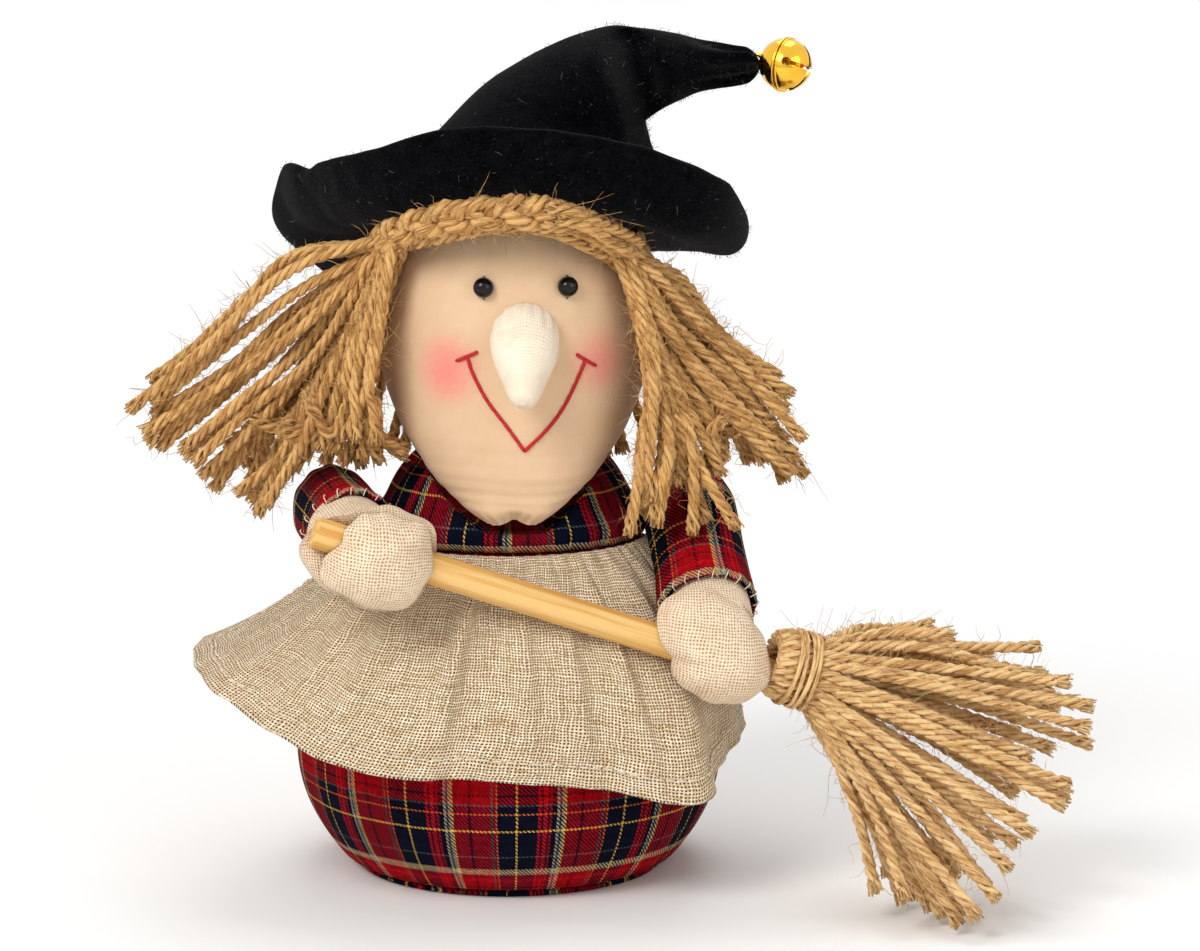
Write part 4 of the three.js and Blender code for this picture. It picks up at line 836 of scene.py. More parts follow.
# The stitches stand out of the cloth in the middle and dip into it at both ends.
stitches = []
for line in (MOUTH_RIGHT, MOUTH_LEFT, *MOUTH_BARS):
    route = through([on_face(x, z) for x, z in line], ROUTE_STEP)
    for part in np.array_split(np.arange(len(route)), max(round(len(route) * ROUTE_STEP / STITCH), 1)):
        part = np.append(part, min(part[-1] + 1, len(route) - 1))
        share = np.linspace(0, 1, 9)
        middle = points_at(np.interp(share, np.linspace(0, 1, len(part)), part), np.arange(len(route)), route)
        lift = STITCH_RADIUS * (np.sin(share * math.pi) ** 0.5 * 1.2 - 0.35)
        stitches.append((middle + [0, -1, 0] * lift[:, None], STITCH_RADIUS))
red_thread = thread_finish("red embroidery thread", "#dc1620", "#a00c14")
dress(sweep("mouth_thread", stitches, 8), red_thread, "skin", "doll")

# Apron
# Unbleached linen, gathered into the waist seam so that it falls in soft pleats. It follows the belly
# in front and flares out at the doll's right. The hem and both sides are turned under and stitched.

# Angle from the front, cut length, slope at the waist and at the hem, from hanging straight, and fold
APRON_STATIONS = np.array([
    (-82, 48, 44, 72, 0), (-64, 54, 46, 68, 1.2), (-46, 58, 48, 50, -1.2), (-28, 59, 48, 26, 1.2),
    (-12, 57, 47, 10, -1), (6, 57, 45, 6, 1), (24, 60, 44, 7, -1), (42, 66, 45, 12, 3.4),
    (58, 60, 44, 7, -0.8), (76, 55, 45, 6, 0.6), (90, 53, 45, 6, 0),
])
APRON_CUT_WIDTH, APRON_CUT_LENGTH = 190.0, 64.0
APRON_THICKNESS, APRON_GAP, APRON_RAISED = 0.8, 0.8, 0.3
APRON_COLUMNS, APRON_ROWS = 440, 72
HEM = 5.5
# Pleats that run from the waist: angle at the waist, drift towards the hem, width and height
PLEATS = [
    (-76, 0, 2.8, 2.2), (-66, -3, 2.6, 2.0), (-54, -5, 2.8, 2.4), (-41, -6, 2.6, 2.0),
    (-29, -7, 2.6, 1.9), (-9, -7, 1.9, 2.6), (5, 1, 2.6, 1.0), (17, 3, 2.4, 1.2), (29, 5, 2.2, 1.8),
    (45, 3, 2.6, 1.5), (57, 4, 2.6, 1.8), (68, 3, 2.6, 1.5), (80, 2, 2.6, 1.6),
]


def grid(name, columns, rows):
    """A grid primitive, and the column and the row of each of its points."""
    made = fresh(name, bpy.ops.mesh.primitive_grid_add, x_subdivisions=columns, y_subdivisions=rows)
    start = np.array([v.co for v in made.data.vertices])
    across, down = start[:, 0] / start[:, 0].max() / 2 + 0.5, start[:, 1] / start[:, 1].max() / 2 + 0.5
    return made, np.round(across * columns).astype(int), np.round(down * rows).astype(int)


def weave_map(piece, across, along):
    """Sets the weave map, in millimetres, from values at the piece's points."""
    corner = np.empty(len(piece.data.loops), dtype=np.int32)
    piece.data.loops.foreach_get("vertex_index", corner)
    piece.data.uv_layers[0].name = "weave"
    piece.data.uv_layers[0].data.foreach_set("uv", np.column_stack([across[corner], along[corner]]).ravel())


def apron_lines():
    """Points of the apron's middle surface, by column and by row from the waist down."""
    first, last = APRON_STATIONS[0, 0], APRON_STATIONS[-1, 0]
    angle = np.linspace(first, last, APRON_COLUMNS + 1)
    length, top, hem, fold = follow(APRON_STATIONS, angle)
    share = np.linspace(0, 1, APRON_ROWS + 1)[None, :]
    slope = np.radians(top[:, None] + (hem - top)[:, None] * (share[:, :-1] + 0.5 / APRON_ROWS))
    step = (length / APRON_ROWS)[:, None]
    out, down = (np.hstack([np.zeros((len(angle), 1)), np.cumsum(step * part, axis=1)])
                 for part in (np.sin(slope), np.cos(slope)))
    radius, height = WAIST_RADIUS + APRON_GAP + 0.4 + out, WAIST_HEIGHT + APRON_RAISED - down
    radius = np.maximum(radius + fold[:, None] * share, belly(height) + APRON_GAP + 0.5)
    for place, drift, wide, high in PLEATS:
        off = (angle[:, None] - place - drift * share) / (wide * (0.9 + 1.1 * share))
        side = np.where(off < 0, off / 1.5, off / 0.55)  # a soft rise on one side, a sharp fall on the other
        radius += 1.6 * high * np.exp(-side ** 2) * smooth(share, 0.0, 0.25) \
            * (1 - 0.5 * smooth(share, 0.5, 1))
    turn = np.radians(angle)[:, None]
    gathers = 1 + np.sin(64 * turn + 3 * np.sin(5 * turn) + 2 * share)
    radius += 0.5 * gathers * (1 - smooth(share, 0.02, 0.5)) * 0.75
    # How far a spot is from the nearest edge: the cloth is thicker where it is turned under.
    under = np.minimum((1 - share) * length[:, None], np.minimum(angle - first, last - angle)[:, None] * 0.9)
    radius += 0.5 * (1 - smooth(under, HEM - 0.4, HEM)) + 0.35 * (1 - smooth(under, 0, 1.2))
    radius -= 0.35 * np.exp(-((under - HEM * 0.8) / 0.5) ** 2)
    points = np.stack([radius * np.sin(turn), -radius * np.cos(turn), height + 0 * turn], axis=-1)
    return points + lumps(points.reshape(-1, 3), 17, 8).reshape(radius.shape)[..., None] * [0.12, -0.22, 0.1]


def linen_finish():
    """Unbleached open-weave linen: uneven threads 0.8 mm apart, slubs, and painted shade between them: the
    gaps take a dark brown.
    """
    material, tree, shader = finish("unbleached open-weave linen", {"Roughness": 0.92, "Sheen Weight": 0.1,
                                                                    "Sheen Roughness": 0.5,
                                                                    "Specular IOR Level": 0.2})
    moved, _, over, height, solid = woven(tree, 0.8, 2, 1.8)
    tones = [noise(tree, calc(tree, "MULTIPLY", moved, stretch, kind="VectorMath"), 1.0)
             for stretch in ((1.25, 0.13, 1), (0.13, 1.25, 1))]
    thread = put(tree, "Mix", {0: over, 2: tones[1], 3: tones[0]}).outputs[0]
    shade = ramped(tree, thread, (0.3, "#c0a076"), (0.5, "#e9d2af"), (0.7, "#fff0d8"))
    # Painted shade: where the threads part, the colour goes to dark brown.
    gap = mapped(tree, solid, 0.6, 0.9, 1.0, 0.0)
    paint(tree, shader, blended(tree, gap, shade, "#4e3419"), height, 0.7, 0.0003)
    return material


linen = linen_finish()
cloth_lines = apron_lines()
apron, column, row = grid("apron_linen", APRON_COLUMNS, APRON_ROWS)
set_points(apron, cloth_lines[column, row])
run = np.cumsum(np.linalg.norm(np.diff(cloth_lines, axis=0, prepend=cloth_lines[:1]), axis=2), axis=0)
weave_map(apron, (run / run[-1])[column, row] * APRON_CUT_WIDTH, row / APRON_ROWS * APRON_CUT_LENGTH)
apply(apron, "SOLIDIFY", thickness=APRON_THICKNESS * MM, offset=0)
apron.data.shade_smooth()
dress(apron, linen, "linen", "doll", "apron_skirt")

# Running stitches of pale thread hold the hem and the turned side edges.
cream_thread = thread_finish("unbleached sewing thread", "#fff6e4", "#c9b18c")
SEAM_ROW, SEAM_TOP, SEAM_COLUMN = APRON_ROWS - 6, 4, 14
HEM_PITCH, HEM_STITCH, HEM_THREAD = 3.1, 2.1, 0.27
hem_stitches = []
normals = np.cross(np.gradient(cloth_lines, axis=0), np.gradient(cloth_lines, axis=1))
normals /= -np.linalg.norm(normals, axis=2, keepdims=True)
cloth_face = cloth_lines + normals * (APRON_THICKNESS / 2 + 0.12)
for line in (cloth_face[SEAM_COLUMN:-SEAM_COLUMN - 1, SEAM_ROW], cloth_face[SEAM_COLUMN, SEAM_TOP:SEAM_ROW],
             cloth_face[-SEAM_COLUMN - 1, SEAM_TOP:SEAM_ROW]):
    run = run_along(line)
    for start_at in np.arange(0, run[-1] - 2, HEM_PITCH):
        points = points_at(start_at + np.linspace(0, HEM_STITCH, 5), run, line)
        dip = -0.3 * np.abs(np.linspace(-1, 1, 5)) ** 3
        outward = points * [1, 1, 0] / np.linalg.norm(points[:, :2], axis=1, keepdims=True)
        hem_stitches.append((points + outward * (dip[:, None] + 0.12), HEM_THREAD))
hem_thread = sweep("apron_stitches", hem_stitches, 5)
dress(hem_thread, cream_thread, "linen", "doll")

# Hair
# Three-ply jute cord of 3 mm, cut in lengths and sewn by its middle to a weft under the hat. It is
# stiff, so it springs out to both sides. The cut ends have opened, and loose fibres stand off all over.

CORD_RADIUS, LAY, CORD_OPENING, CORD_FRAYS = 1.5, 9.5, 6.0, 30
WEFT_STAND_OFF = 1.8
# Each cord: the angle and level at which it leaves the weft, then points by X, Y and level
RIGHT_CORDS = [
    [(-56, 60), (-53, -17, 62), (-74, -11, 43), (-94, -7, 26)],
    [(-64, 59), (-50, -12, 65), (-68, -8, 52), (-85, -6, 35)],
    [(-58, 58), (-50, -16, 49), (-71, -10, 33), (-88, -8, 22)],
    [(-70, 63), (-52, -10, 46), (-72, -6, 30), (-87, -4, 17)],
    [(-60, 60), (-47, -16, 42), (-63, -12, 27), (-78, -10, 15)],
    [(-76, 61), (-48, -8, 40), (-62, -6, 20), (-74, -4, 6)],
    [(-62, 57), (-43, -20, 38), (-51, -19, 20), (-59, -18, 5)],
    [(-84, 60), (-45, -4, 36), (-56, -2, 16), (-64, 0, 2)],
    [(-66, 55), (-40, -21, 37), (-44, -21, 27), (-46, -20, 20)],
    [(-58, 56), (-37, -25, 38), (-38, -25, 29), (-39, -24, 21)],
    [(-51, 58), (-34, -27, 40), (-33, -28, 30), (-31, -26, 22)],
    [(-60, 58), (-38, -22, 38), (-38, -19, 24), (-37, -15, 15)],
    [(-70, 58), (-42, -17, 36), (-46, -15, 24), (-50, -12, 15)],
    [(-56, 57), (-36, -22, 36), (-34, -22, 24), (-31, -20, 15)],
    [(-75, 56), (-38, -12, 34), (-34, -14, 24), (-26, -20, 17)],
]
LEFT_CORDS = [
    [(46, 61), (38, -23, 60), (56, -17, 40), (73, -13, 21)],
    [(55, 59), (42, -13, 60), (54, -9, 47), (65, -7, 34)],
    [(62, 63), (42, -15, 52), (55, -12, 41), (67, -10, 28)],
    [(50, 60), (38, -24, 51), (50, -20, 36), (68, -17, 19)],
    [(56, 63), (40, -23, 48), (52, -21, 29), (69, -17, 12)],
    [(64, 60), (41, -18, 45), (49, -15, 32), (59, -13, 19)],
    [(60, 58), (38, -22, 42), (46, -22, 27), (53, -20, 16)],
    [(48, 62), (37, -27, 46), (46, -27, 27), (54, -25, 14)],
    [(57, 55), (37, -25, 41), (42, -26, 26), (46, -27, 13)],
    [(47, 56), (36, -28, 40), (38, -28, 22), (37, -27, 14)],
    [(51, 59), (34, -31, 36), (32, -33, 16), (29, -36, 2)],
    [(52, 57), (36, -30, 44), (35, -32, 24), (34, -31, 9)],
    [(60, 60), (38, -26, 40), (38, -30, 20), (38, -33, 2)],
    [(66, 58), (40, -22, 42), (45, -29, 20), (57, -32, 2)],
]
# Round the hat's edge over the forehead: angle from the front, level of the hair and its radius
BAND = np.array([
    (-70, 62, 35.5), (-56, 70.5, 37.5), (-37, 75.3, 39.3), (-26, 77.4, 39.8), (-11, 78.8, 40.2),
    (3, 79.4, 40.2), (17, 78.6, 40), (25, 76.5, 39.3), (33, 73.8, 38.5), (53, 67.5, 36), (66, 62, 34.5),
])
PLAIT_FROM, PARTING, BAND_TO = -64, 14, 62
# At the sides and behind, the cords simply hang: angle at the weft, reach outwards there and level of the tip
BACK_CORDS = [
    (60, 10, 26), (69, 13, 22), (78, 17, 18), (86, 21, 13), (94, 24, 8), (104, 21, 4), (115, 17, 8),
    (126, 12, 3), (137, 9, 7), (148, 6, 4), (159, 5, 8), (171, 4, 5),
]


def jute_finish(low, middle, high):
    """Natural jute: long pale and brown fibres laid along each ply, dry and matt."""
    material, tree, shader = finish("twisted natural jute", {"Roughness": 0.86, "Specular IOR Level": 0.3,
                                                             "Sheen Weight": 0.12, "Sheen Roughness": 0.45})
    flat = weave_point(tree)
    fine = calc(tree, "MULTIPLY", flat, (3.4, 0.34, 1), kind="VectorMath")
    fibres = noise(tree, fine, 1.0, 3.0, Roughness=0.6)
    broad = calc(tree, "MULTIPLY", flat, (0.5, 0.06, 1), kind="VectorMath")
    total = calc(tree, "MULTIPLY_ADD", noise(tree, broad, 1.0, 1.0), 0.8, fibres)
    paint(tree, shader, ramped(tree, total, (0.6, low), (0.8, middle), (1.0, high)), fibres, 0.7, 0.00035)
    return material


def loose_fibre(start, way, length, radius, picks):
    """A thin fibre that leaves a cord and bends over."""
    share = np.linspace(0, 1, 6)[:, None]
    curl, wave = picks.normal(size=(2, 3)) * [[0.55], [0.22]]
    line = start + length * (way * share + curl * share ** 2 + wave * np.sin(1.5 * math.pi * share))
    return line, radius * np.array([1, 1, 0.95, 0.85, 0.7, 0.4])


def twisted(route, picks, radius=CORD_RADIUS, fluff=0.7, bare=0, frayed=(False, True)):
    """Three plies laid round each other along a route, which open out at a frayed end, and loose fibres,
    except on the first share of it that is bare."""
    ahead, side, over = frames(route)
    run = run_along(route)
    left = np.full(len(run), 1e3)
    if frayed[1]:
        left = run[-1] - run
    if frayed[0]:
        left = np.minimum(left, run)
    open_share = 1 - smooth(left, 0, CORD_OPENING)
    phase = picks.uniform(0, TAU)
    plies, fibres = [], []
    for ply in range(3):
        turn = phase + TAU * ply / 3 - TAU * run / LAY
        off = radius * (0.54 + 0.3 * open_share)
        square = np.cos(turn)[:, None] * side + np.sin(turn)[:, None] * over
        thick = radius * (0.5 + 0.04 * np.sin(run * 1.7 + ply)) * (1 - 0.2 * open_share)
        plies.append((route + off[:, None] * square, thick))

    def ring_at(k):
        spot = picks.uniform(0, TAU)
        return math.cos(spot) * side[k] + math.sin(spot) * over[k]

    for end, frays in zip((0, -1), frayed):
        away = ahead[end] * (1 if end else -1)
        for _ in range(CORD_FRAYS if frays else 0):
            ring = ring_at(end)
            start = route[end] + ring * radius * picks.uniform(0.1, 1.1) - away * 2.2
            way = away + ring * picks.uniform(-0.05, 0.22) + picks.normal(size=3) * 0.06
            fibres.append((start + way * np.linspace(0, picks.uniform(2.4, 3.5), 4)[:, None], 0.22))
    for _ in range(round(run[-1] * fluff)):
        k = picks.integers(round(bare * len(route)) + 1, len(route) - 1)
        ring = ring_at(k)
        way = ahead[k] * picks.uniform(-1, 1) + ring * picks.uniform(0, 0.35)
        fibres.append(loose_fibre(route[k] + ring * radius * 0.85, way, picks.uniform(2.5, 7.0), 0.08, picks))
    return plies, fibres


def jute_piece(name, bunch, sides, material, node, body):
    """A bunch of twisted cords: their plies as one piece, and their loose fibres and ends as another."""
    dress(sweep(name, [ply for plies, _ in bunch for ply in plies], sides), material, "jute", body, node)
    loose = sweep(name + "_fibres", [fibre for _, fibres in bunch for fibre in fibres], 3)
    dress(loose, material, "jute", body)


def on_band(angle, rise, out):
    """Points of the hair round the hat's edge, risen and stood out from its middle."""
    level, radius = follow(BAND, np.asarray(angle, float))
    return HEAD_BASE + upright(radius + out, np.radians(angle), level + rise)


jute = jute_finish("#64401c", "#b27e41", "#e2b573")


def hair_piece(name, cords, side, node, seed):
    """One side's hair: the cords written above, two more between each two, and those behind."""
    picks = np.random.default_rng(seed)
    routes = []
    for (angle, level), *points in cords:
        rise = (level - 60) * 0.7
        start = on_band(np.array([angle - side * 16, angle - side * 3]), rise, 0.4 * rise)
        points = np.array(points) + [0, 0, HEAD_BASE[2]] + picks.normal(size=(3, 3)) * [[0.4], [0.9], [0.9]]
        routes.append(np.vstack([start, points]))
    between = [(a * share + b * (1 - share)) + (picks.uniform(-2.4, 2.4, size=(5, 3)) + [0, back, 0])
               * np.array([[0.3], [0.3], [1], [1], [1]])
               for share, back in ((0.5, 0), (0.3, 4)) for a, b in zip(routes, routes[1:])]
    more = [(angle + 5, reach - 3, tip + 2) for angle, reach, tip in BACK_CORDS]
    for angle, reach, tip in BACK_CORDS + more:
        turn = math.radians(angle + picks.uniform(-2, 2))
        levels = np.array([70, 60, 44, 24, tip + picks.uniform(0, 7)])
        outs = (WEFT_STAND_OFF, WEFT_STAND_OFF + 0.5, reach * 0.35 + 4, reach * 0.8 + 9, reach + 14)
        line = on_head(turn, np.maximum(levels, 40), outs)
        line[:, 2] = HEAD_BASE[2] + levels
        line[2:, 1] = np.clip(line[2:, 1], -60, 37)
        line[:, 0] = HEAD_BASE[0] + side * np.abs(line[:, 0] - HEAD_BASE[0])
        routes.append(line)
    bunch = [twisted(through(line, 1.25), picks, bare=0.3) for line in routes + between]
    jute_piece(name, bunch, 6, jute, node, "doll")


hair_piece("right_hair_cords", RIGHT_CORDS, -1, "right_hair", 11)
hair_piece("left_hair_cords", LEFT_CORDS, 1, "left_hair", 12)

# Over the forehead three cords are plaited from the doll's right to the parting. From there the cords
# lie side by side to the doll's left: rise, stand-off, and the angles of both ends of each.
PLAIT_LAY, PLAIT_RADIUS = 34, 2.05
LOOSE_CORDS = [(3.0, 0.3, PARTING - 7, BAND_TO - 4), (0.2, 1.0, PARTING - 10, BAND_TO),
               (-2.7, 0, PARTING - 4, BAND_TO - 3), (1.7, 2.9, PARTING - 2, BAND_TO - 9),
               (-1.3, 2.8, PARTING + 2, BAND_TO - 6), (-4.4, -3.4, PLAIT_FROM + 6, BAND_TO - 8)]
picks = np.random.default_rng(13)
band = []
for k in range(3):
    angle = np.linspace(PLAIT_FROM, PARTING, 40)
    turn = (angle - PLAIT_FROM) * TAU / PLAIT_LAY + k * TAU / 3
    route = through(on_band(angle, 2.7 * np.sin(turn), 1.3 * np.sin(2 * turn)), 1.0)
    band.append(twisted(route, picks, radius=PLAIT_RADIUS, fluff=1.6, frayed=(True, True)))
for rise, out, start, stop in LOOSE_CORDS:
    angle = np.linspace(start, stop, 16)
    route = through(on_band(angle, rise + 0.5 * np.sin(0.13 * angle + rise), out), 1.0)
    band.append(twisted(route, picks, fluff=1.2, frayed=(True, False)))
jute_piece("front_hair_plait", band, 7, jute, "front_hair", "doll")

# Hat
# Thick black wool felt, cut and steamed to shape: a brim turned up in front and curled at both sides,
# and a tall cone that is folded over to the doll's left and drawn together at its tip.

HAT_HEIGHT, HAT_RADIUS, HAT_TILT, BRIM_INNER, FELT = 72.0, 36.0, 0.222, 24.0, 2.6
HAT_BASE = HEAD_BASE + [0, 0, HAT_HEIGHT]
# Angle from the front, width to the bend, rise of the bend, width to the edge, rise of the edge
BRIM_STATIONS = np.array([
    (-45, 11, 3, 9, 22.5), (-22, 9, 9.5, 8, 27.5), (0, 8, 11.5, 7, 28), (25, 10, 7, 9.5, 26),
    (45, 15, -1, 14, 22), (62, 19.5, -8, 19, 15), (80, 21.5, -13, 20, 7), (95, 22, -14, 21.5, 0),
    (125, 17, -11, 27, -9), (180, 12, -13, 25, -16), (225, 16, -15, 29, -18), (250, 24, -14, 28, -1),
    (263, 21.5, -7, 22, 12.6), (272, 18.5, -5, 19, 14.6), (280, 14.5, -3, 15.2, 14.2),
    (288, 13, -1, 13, 17), (315, 11, 3, 9, 22.5), (338, 9, 9.5, 8, 27.5), (360, 8, 11.5, 7, 28),
    (385, 10, 7, 9.5, 26),
])
BRIM_COLUMNS, BRIM_ROWS, BRIM_INNER_ROWS = 200, 24, 5
TIP_REACH, TIP_RISE, TIP_FELT = 60.3, 39.0, 4.1
# Outer and inner end of each section in the view from the front, its half depth and its tilt
CROWN_STATIONS = np.array([
    (-36, 0, 36, 0, 35, 35 * HAT_TILT), (-27, 12, 36, 8, 31, 5), (-17.5, 22.8, 35, 15, 27, 3),
    (-6, 34, 33.5, 20, 22, 1), (9, 42.5, 32.5, 23.5, 17.5, 0), (21.5, 46.8, 34.5, 25.5, 14, 0),
    (32, 46.6, 39, 28, 11.5, 0), (46, 43.3, 47, 31, 7.4, 0),
    (TIP_REACH + 0.5, TIP_RISE + 2.6, TIP_REACH + 0.9, TIP_RISE - 4.8, TIP_FELT, 0),
])
CROWN_COLUMNS, CROWN_ROWS = 112, 110
CROWN_CENTRE = HAT_BASE + [0, 0, FELT / 2 + 0.3]


def felt_finish():
    """Wool felt: matted black fibres with no weave, deep and dull, a little paler where they catch light."""
    material, tree, shader = finish("black wool felt", {"Roughness": 0.97, "Specular IOR Level": 0.02,
                                                        "Sheen Weight": 0.05, "Sheen Roughness": 0.4})
    here = object_point(tree)
    fine = noise(tree, here, 1500.0, 4.0, Distortion=1.2)
    total = calc(tree, "MULTIPLY_ADD", noise(tree, here, 260.0, 3.0), 0.5, fine)
    tone = blended(tree, mapped(tree, total, 0.55, 1.0), "#000000", "#0f0e12")
    paint(tree, shader, tone, total, 0.8, 0.0005)
    return material


def felt_piece(piece, node):
    """Rounds off a felt sheet that has been bent all the way round, and gives it its finish."""
    apply(piece, "SUBSURF", levels=1, render_levels=1)
    piece.data.shade_smooth()
    dress(piece, felt, "felt", "doll", node)


felt = felt_finish()
brim, column, row = grid("hat_brim_felt", BRIM_COLUMNS, BRIM_ROWS)
angle = 360 * np.mod(column, BRIM_COLUMNS) / BRIM_COLUMNS
bend_out, bend_up, edge_out, edge_up = follow(BRIM_STATIONS, angle)
turn = np.radians(angle)


def brim_point(radius, rise, on_seat):
    return HAT_BASE + upright(radius, turn, rise + on_seat * HAT_TILT * radius * np.cos(turn))


seat = brim_point(HAT_RADIUS + 0 * turn, 4.5 * np.exp(-((np.mod(angle + 180, 360) - 180) / 32) ** 2), 1)
bend = brim_point(HAT_RADIUS + bend_out, bend_up, 0)
edge = brim_point(HAT_RADIUS + edge_out, edge_up, 0)


def on_brim(t):
    """Points of the brim a share of the way from the seat to the edge."""
    return (1 - t) ** 2 * seat + 2 * t * (1 - t) * bend + t ** 2 * edge


t = np.clip((row - BRIM_INNER_ROWS) / (BRIM_ROWS - BRIM_INNER_ROWS), 0, 1)[:, None]
inside = brim_point(BRIM_INNER + (HAT_RADIUS - BRIM_INNER) * row / BRIM_INNER_ROWS, 0, 1)
points = np.where((row < BRIM_INNER_ROWS)[:, None], inside, on_brim(t))
points += lumps(points, 30, 21)[:, None] * t * [0.5, 0.5, 0.6] + lumps(points, 9, 22)[:, None] * t * 0.18
set_points(brim, points)
weave_map(brim, angle, row)
edit_whole(MERGED, FACED_OUT)
apply(brim, "SOLIDIFY", thickness=FELT * MM, offset=0, use_even_offset=True)
felt_piece(brim, "hat_brim")

# A line of small stitches runs under the brim's edge, in a grey thread that is nearly lost in the felt.
BRIM_SEAM = 0.86  # share of the way from the seat to the edge
BRIM_PITCH, BRIM_STITCH, BRIM_THREAD = 1.15, 0.62, 0.13
below = 2 * (1 - BRIM_SEAM) * (bend - seat) + 2 * BRIM_SEAM * (edge - bend)
away = np.cross(np.column_stack([np.cos(turn), np.sin(turn), 0 * turn]), below)
away /= -np.linalg.norm(away, axis=1, keepdims=True)
one_row = (row == BRIM_ROWS) & (column < BRIM_COLUMNS)
line = (on_brim(BRIM_SEAM) + away * (FELT / 2 + 0.12))[one_row]
line = line[np.argsort(angle[one_row])]
line = np.vstack([line, line[:1]])
brim_stitches = [
    (points_at(start + np.linspace(0, BRIM_STITCH, 4), np.arange(BRIM_COLUMNS + 1), line), BRIM_THREAD)
    for start in np.arange(0, BRIM_COLUMNS, BRIM_PITCH)]
grey_thread = thread_finish("grey sewing thread", "#8d8a8a", "#4c4a4c")
dress(sweep("hat_brim_stitches", brim_stitches, 5), grey_thread, "felt", "doll")

crown, column, row = grid("hat_crown_felt", CROWN_COLUMNS, CROWN_ROWS)
stations = np.column_stack([np.linspace(0, 1, len(CROWN_STATIONS)), CROWN_STATIONS])
place = row / CROWN_ROWS
outer_x, outer_z, inner_x, inner_z, deep, tilt = follow(stations, place)
turn = TAU * np.mod(column, CROWN_COLUMNS) / CROWN_COLUMNS
middle = np.column_stack([(outer_x + inner_x) / 2, 0 * place, (outer_z + inner_z) / 2])
half = np.column_stack([(inner_x - outer_x) / 2, 0 * place, (inner_z - outer_z) / 2])
depth = np.column_stack([0 * place, -deep, tilt])
closing = np.sqrt(np.clip((1 - place) / 0.025, 0, 1))[:, None]
tip_folds = (1 + 0.16 * np.sin(7 * turn + 0.8) * smooth(place, 0.8, 0.97))[:, None]
section = half * np.sin(turn)[:, None] + depth * np.cos(turn)[:, None]
points = middle + CROWN_CENTRE + closing * tip_folds * section
off = points - HAT_BASE
# The fold across the front where the cone bends over, and the hollow under it
front = smooth(np.cos(turn), 0.12, 0.85)
crease = off[:, 0] - np.interp(off[:, 2], [18, 46], [35, 25])
points[:, 1] -= front * 4.2 * np.exp(-((crease + 6) / 5) ** 2) * smooth(off[:, 2], 10, 24)
points[:, 1] += front * 7.5 * np.exp(-((crease - 3) / 4.5) ** 2) * smooth(off[:, 2], 18, 30)
hollow = np.exp(-((off[:, 0] - 17) / 11) ** 2 - ((off[:, 2] - 24) / 6) ** 2)
swelling = np.exp(-((off[:, 0] - 2) / 11) ** 2 - ((off[:, 2] - 19) / 6) ** 2)
points[:, 1] += front * (6 * hollow - 3.2 * swelling)
points += lumps(points, 26, 23)[:, None] * [0.5, 0.6, 0.5] * closing + lumps(points, 8, 24)[:, None] * 0.15
set_points(crown, points)
weave_map(crown, turn, place)
edit_whole(MERGED, FACED_OUT)
# The felt is pared down towards the tip, where it is drawn together.
thick = crown.vertex_groups.new(name="thick")
for vertex in crown.data.vertices:
    reach = vertex.co.x / MM - HAT_BASE[0]
    thick.add([vertex.index], float(1 - 0.9 * smooth(reach, 36, 52)), "REPLACE")
apply(crown, "SOLIDIFY", thickness=FELT * MM, offset=-1, vertex_group="thick", thickness_vertex_group=0.05)
felt_piece(crown, "hat_crown")

# Short wool fibres stand up all over the felt, with pale lint from the jute among them.


def lint_finish(name, roughness, low, high):
    """Loose fibres, uneven in tone."""
    material, tree, shader = finish(name, {"Roughness": roughness})
    tone = blended(tree, noise(tree, object_point(tree), 300.0), low, high)
    tree.links.new(tone, shader.inputs["Base Color"])
    return material


def fuzz(name, piece, count, length, radius, lie, material, seed):
    """Fibres over a felt piece: lie is how flat they lie, from 0 upright to 1."""
    picks = np.random.default_rng(seed)
    faces = piece.data.polygons
    share = np.linspace(0, 1, 5)[:, None]
    strands = []
    for index in picks.integers(0, len(faces), count):
        centre, normal = np.array(faces[index].center) / MM, np.array(faces[index].normal)
        way = picks.normal(size=3)
        way -= way @ normal * normal
        way = way / np.linalg.norm(way) * lie + normal * (1 - lie)
        long = picks.uniform(0.5, 1) * length
        bent = way * long * share + picks.normal(size=3) * 0.35 * long * share ** 2
        lift = normal * (0.05 + 0.25 * np.sin(share * math.pi))
        strands.append((centre + bent * (1 - 0.2 * lie) + lift, radius))
    dress(sweep(name, strands, 3), material, "felt", "doll")


pale_lint = lint_finish("pale lint on felt", 0.9, "#4b494b", "#85827e")
wool = lint_finish("loose black wool", 0.95, "#0c0c0e", "#2c2b2f")
for part, piece in (("brim", brim), ("crown", crown)):
    fuzz("hat_" + part + "_lint", piece, 170, 2.6, 0.04, 0.9, pale_lint, 31)
    fuzz("hat_" + part + "_wool", piece, 1500, 1.1, 0.06, 0.35, wool, 32)

# Bell
# A 13 mm jingle bell of thin brass, pressed in two halves, folded together round the middle and plated
# bright gold. The cup has two crossed slits that end in round holes, and the cap a loop of wire.

BELL_RADIUS, BELL_WALL, BELL_RIM, BELL_SLIT, BELL_HOLE = 6.5, 0.45, 0.3, 1.0, 1.1
LOOP_RADIUS, LOOP_WIRE, LOOP_RISE = 1.5, 0.45, 0.7
BELL_GAP = 0.3
HAT_TIP = CROWN_CENTRE + [TIP_REACH, 0, TIP_RISE]
BELL_WAY = np.array([0.87, -0.47, -0.13]) / np.linalg.norm([0.87, -0.47, -0.13])
BELL_CENTRE = HAT_TIP + BELL_WAY * (BELL_RADIUS + LOOP_RADIUS * 0.6)
LOOP_CENTRE = BELL_CENTRE - BELL_WAY * (BELL_RADIUS + LOOP_RADIUS * LOOP_RISE)
bell_turn = Vector((0, 0, 1)).rotation_difference(Vector(BELL_WAY)).to_matrix().to_4x4()
bell_frame = Matrix.Translation(Vector(BELL_CENTRE * MM)) @ bell_turn


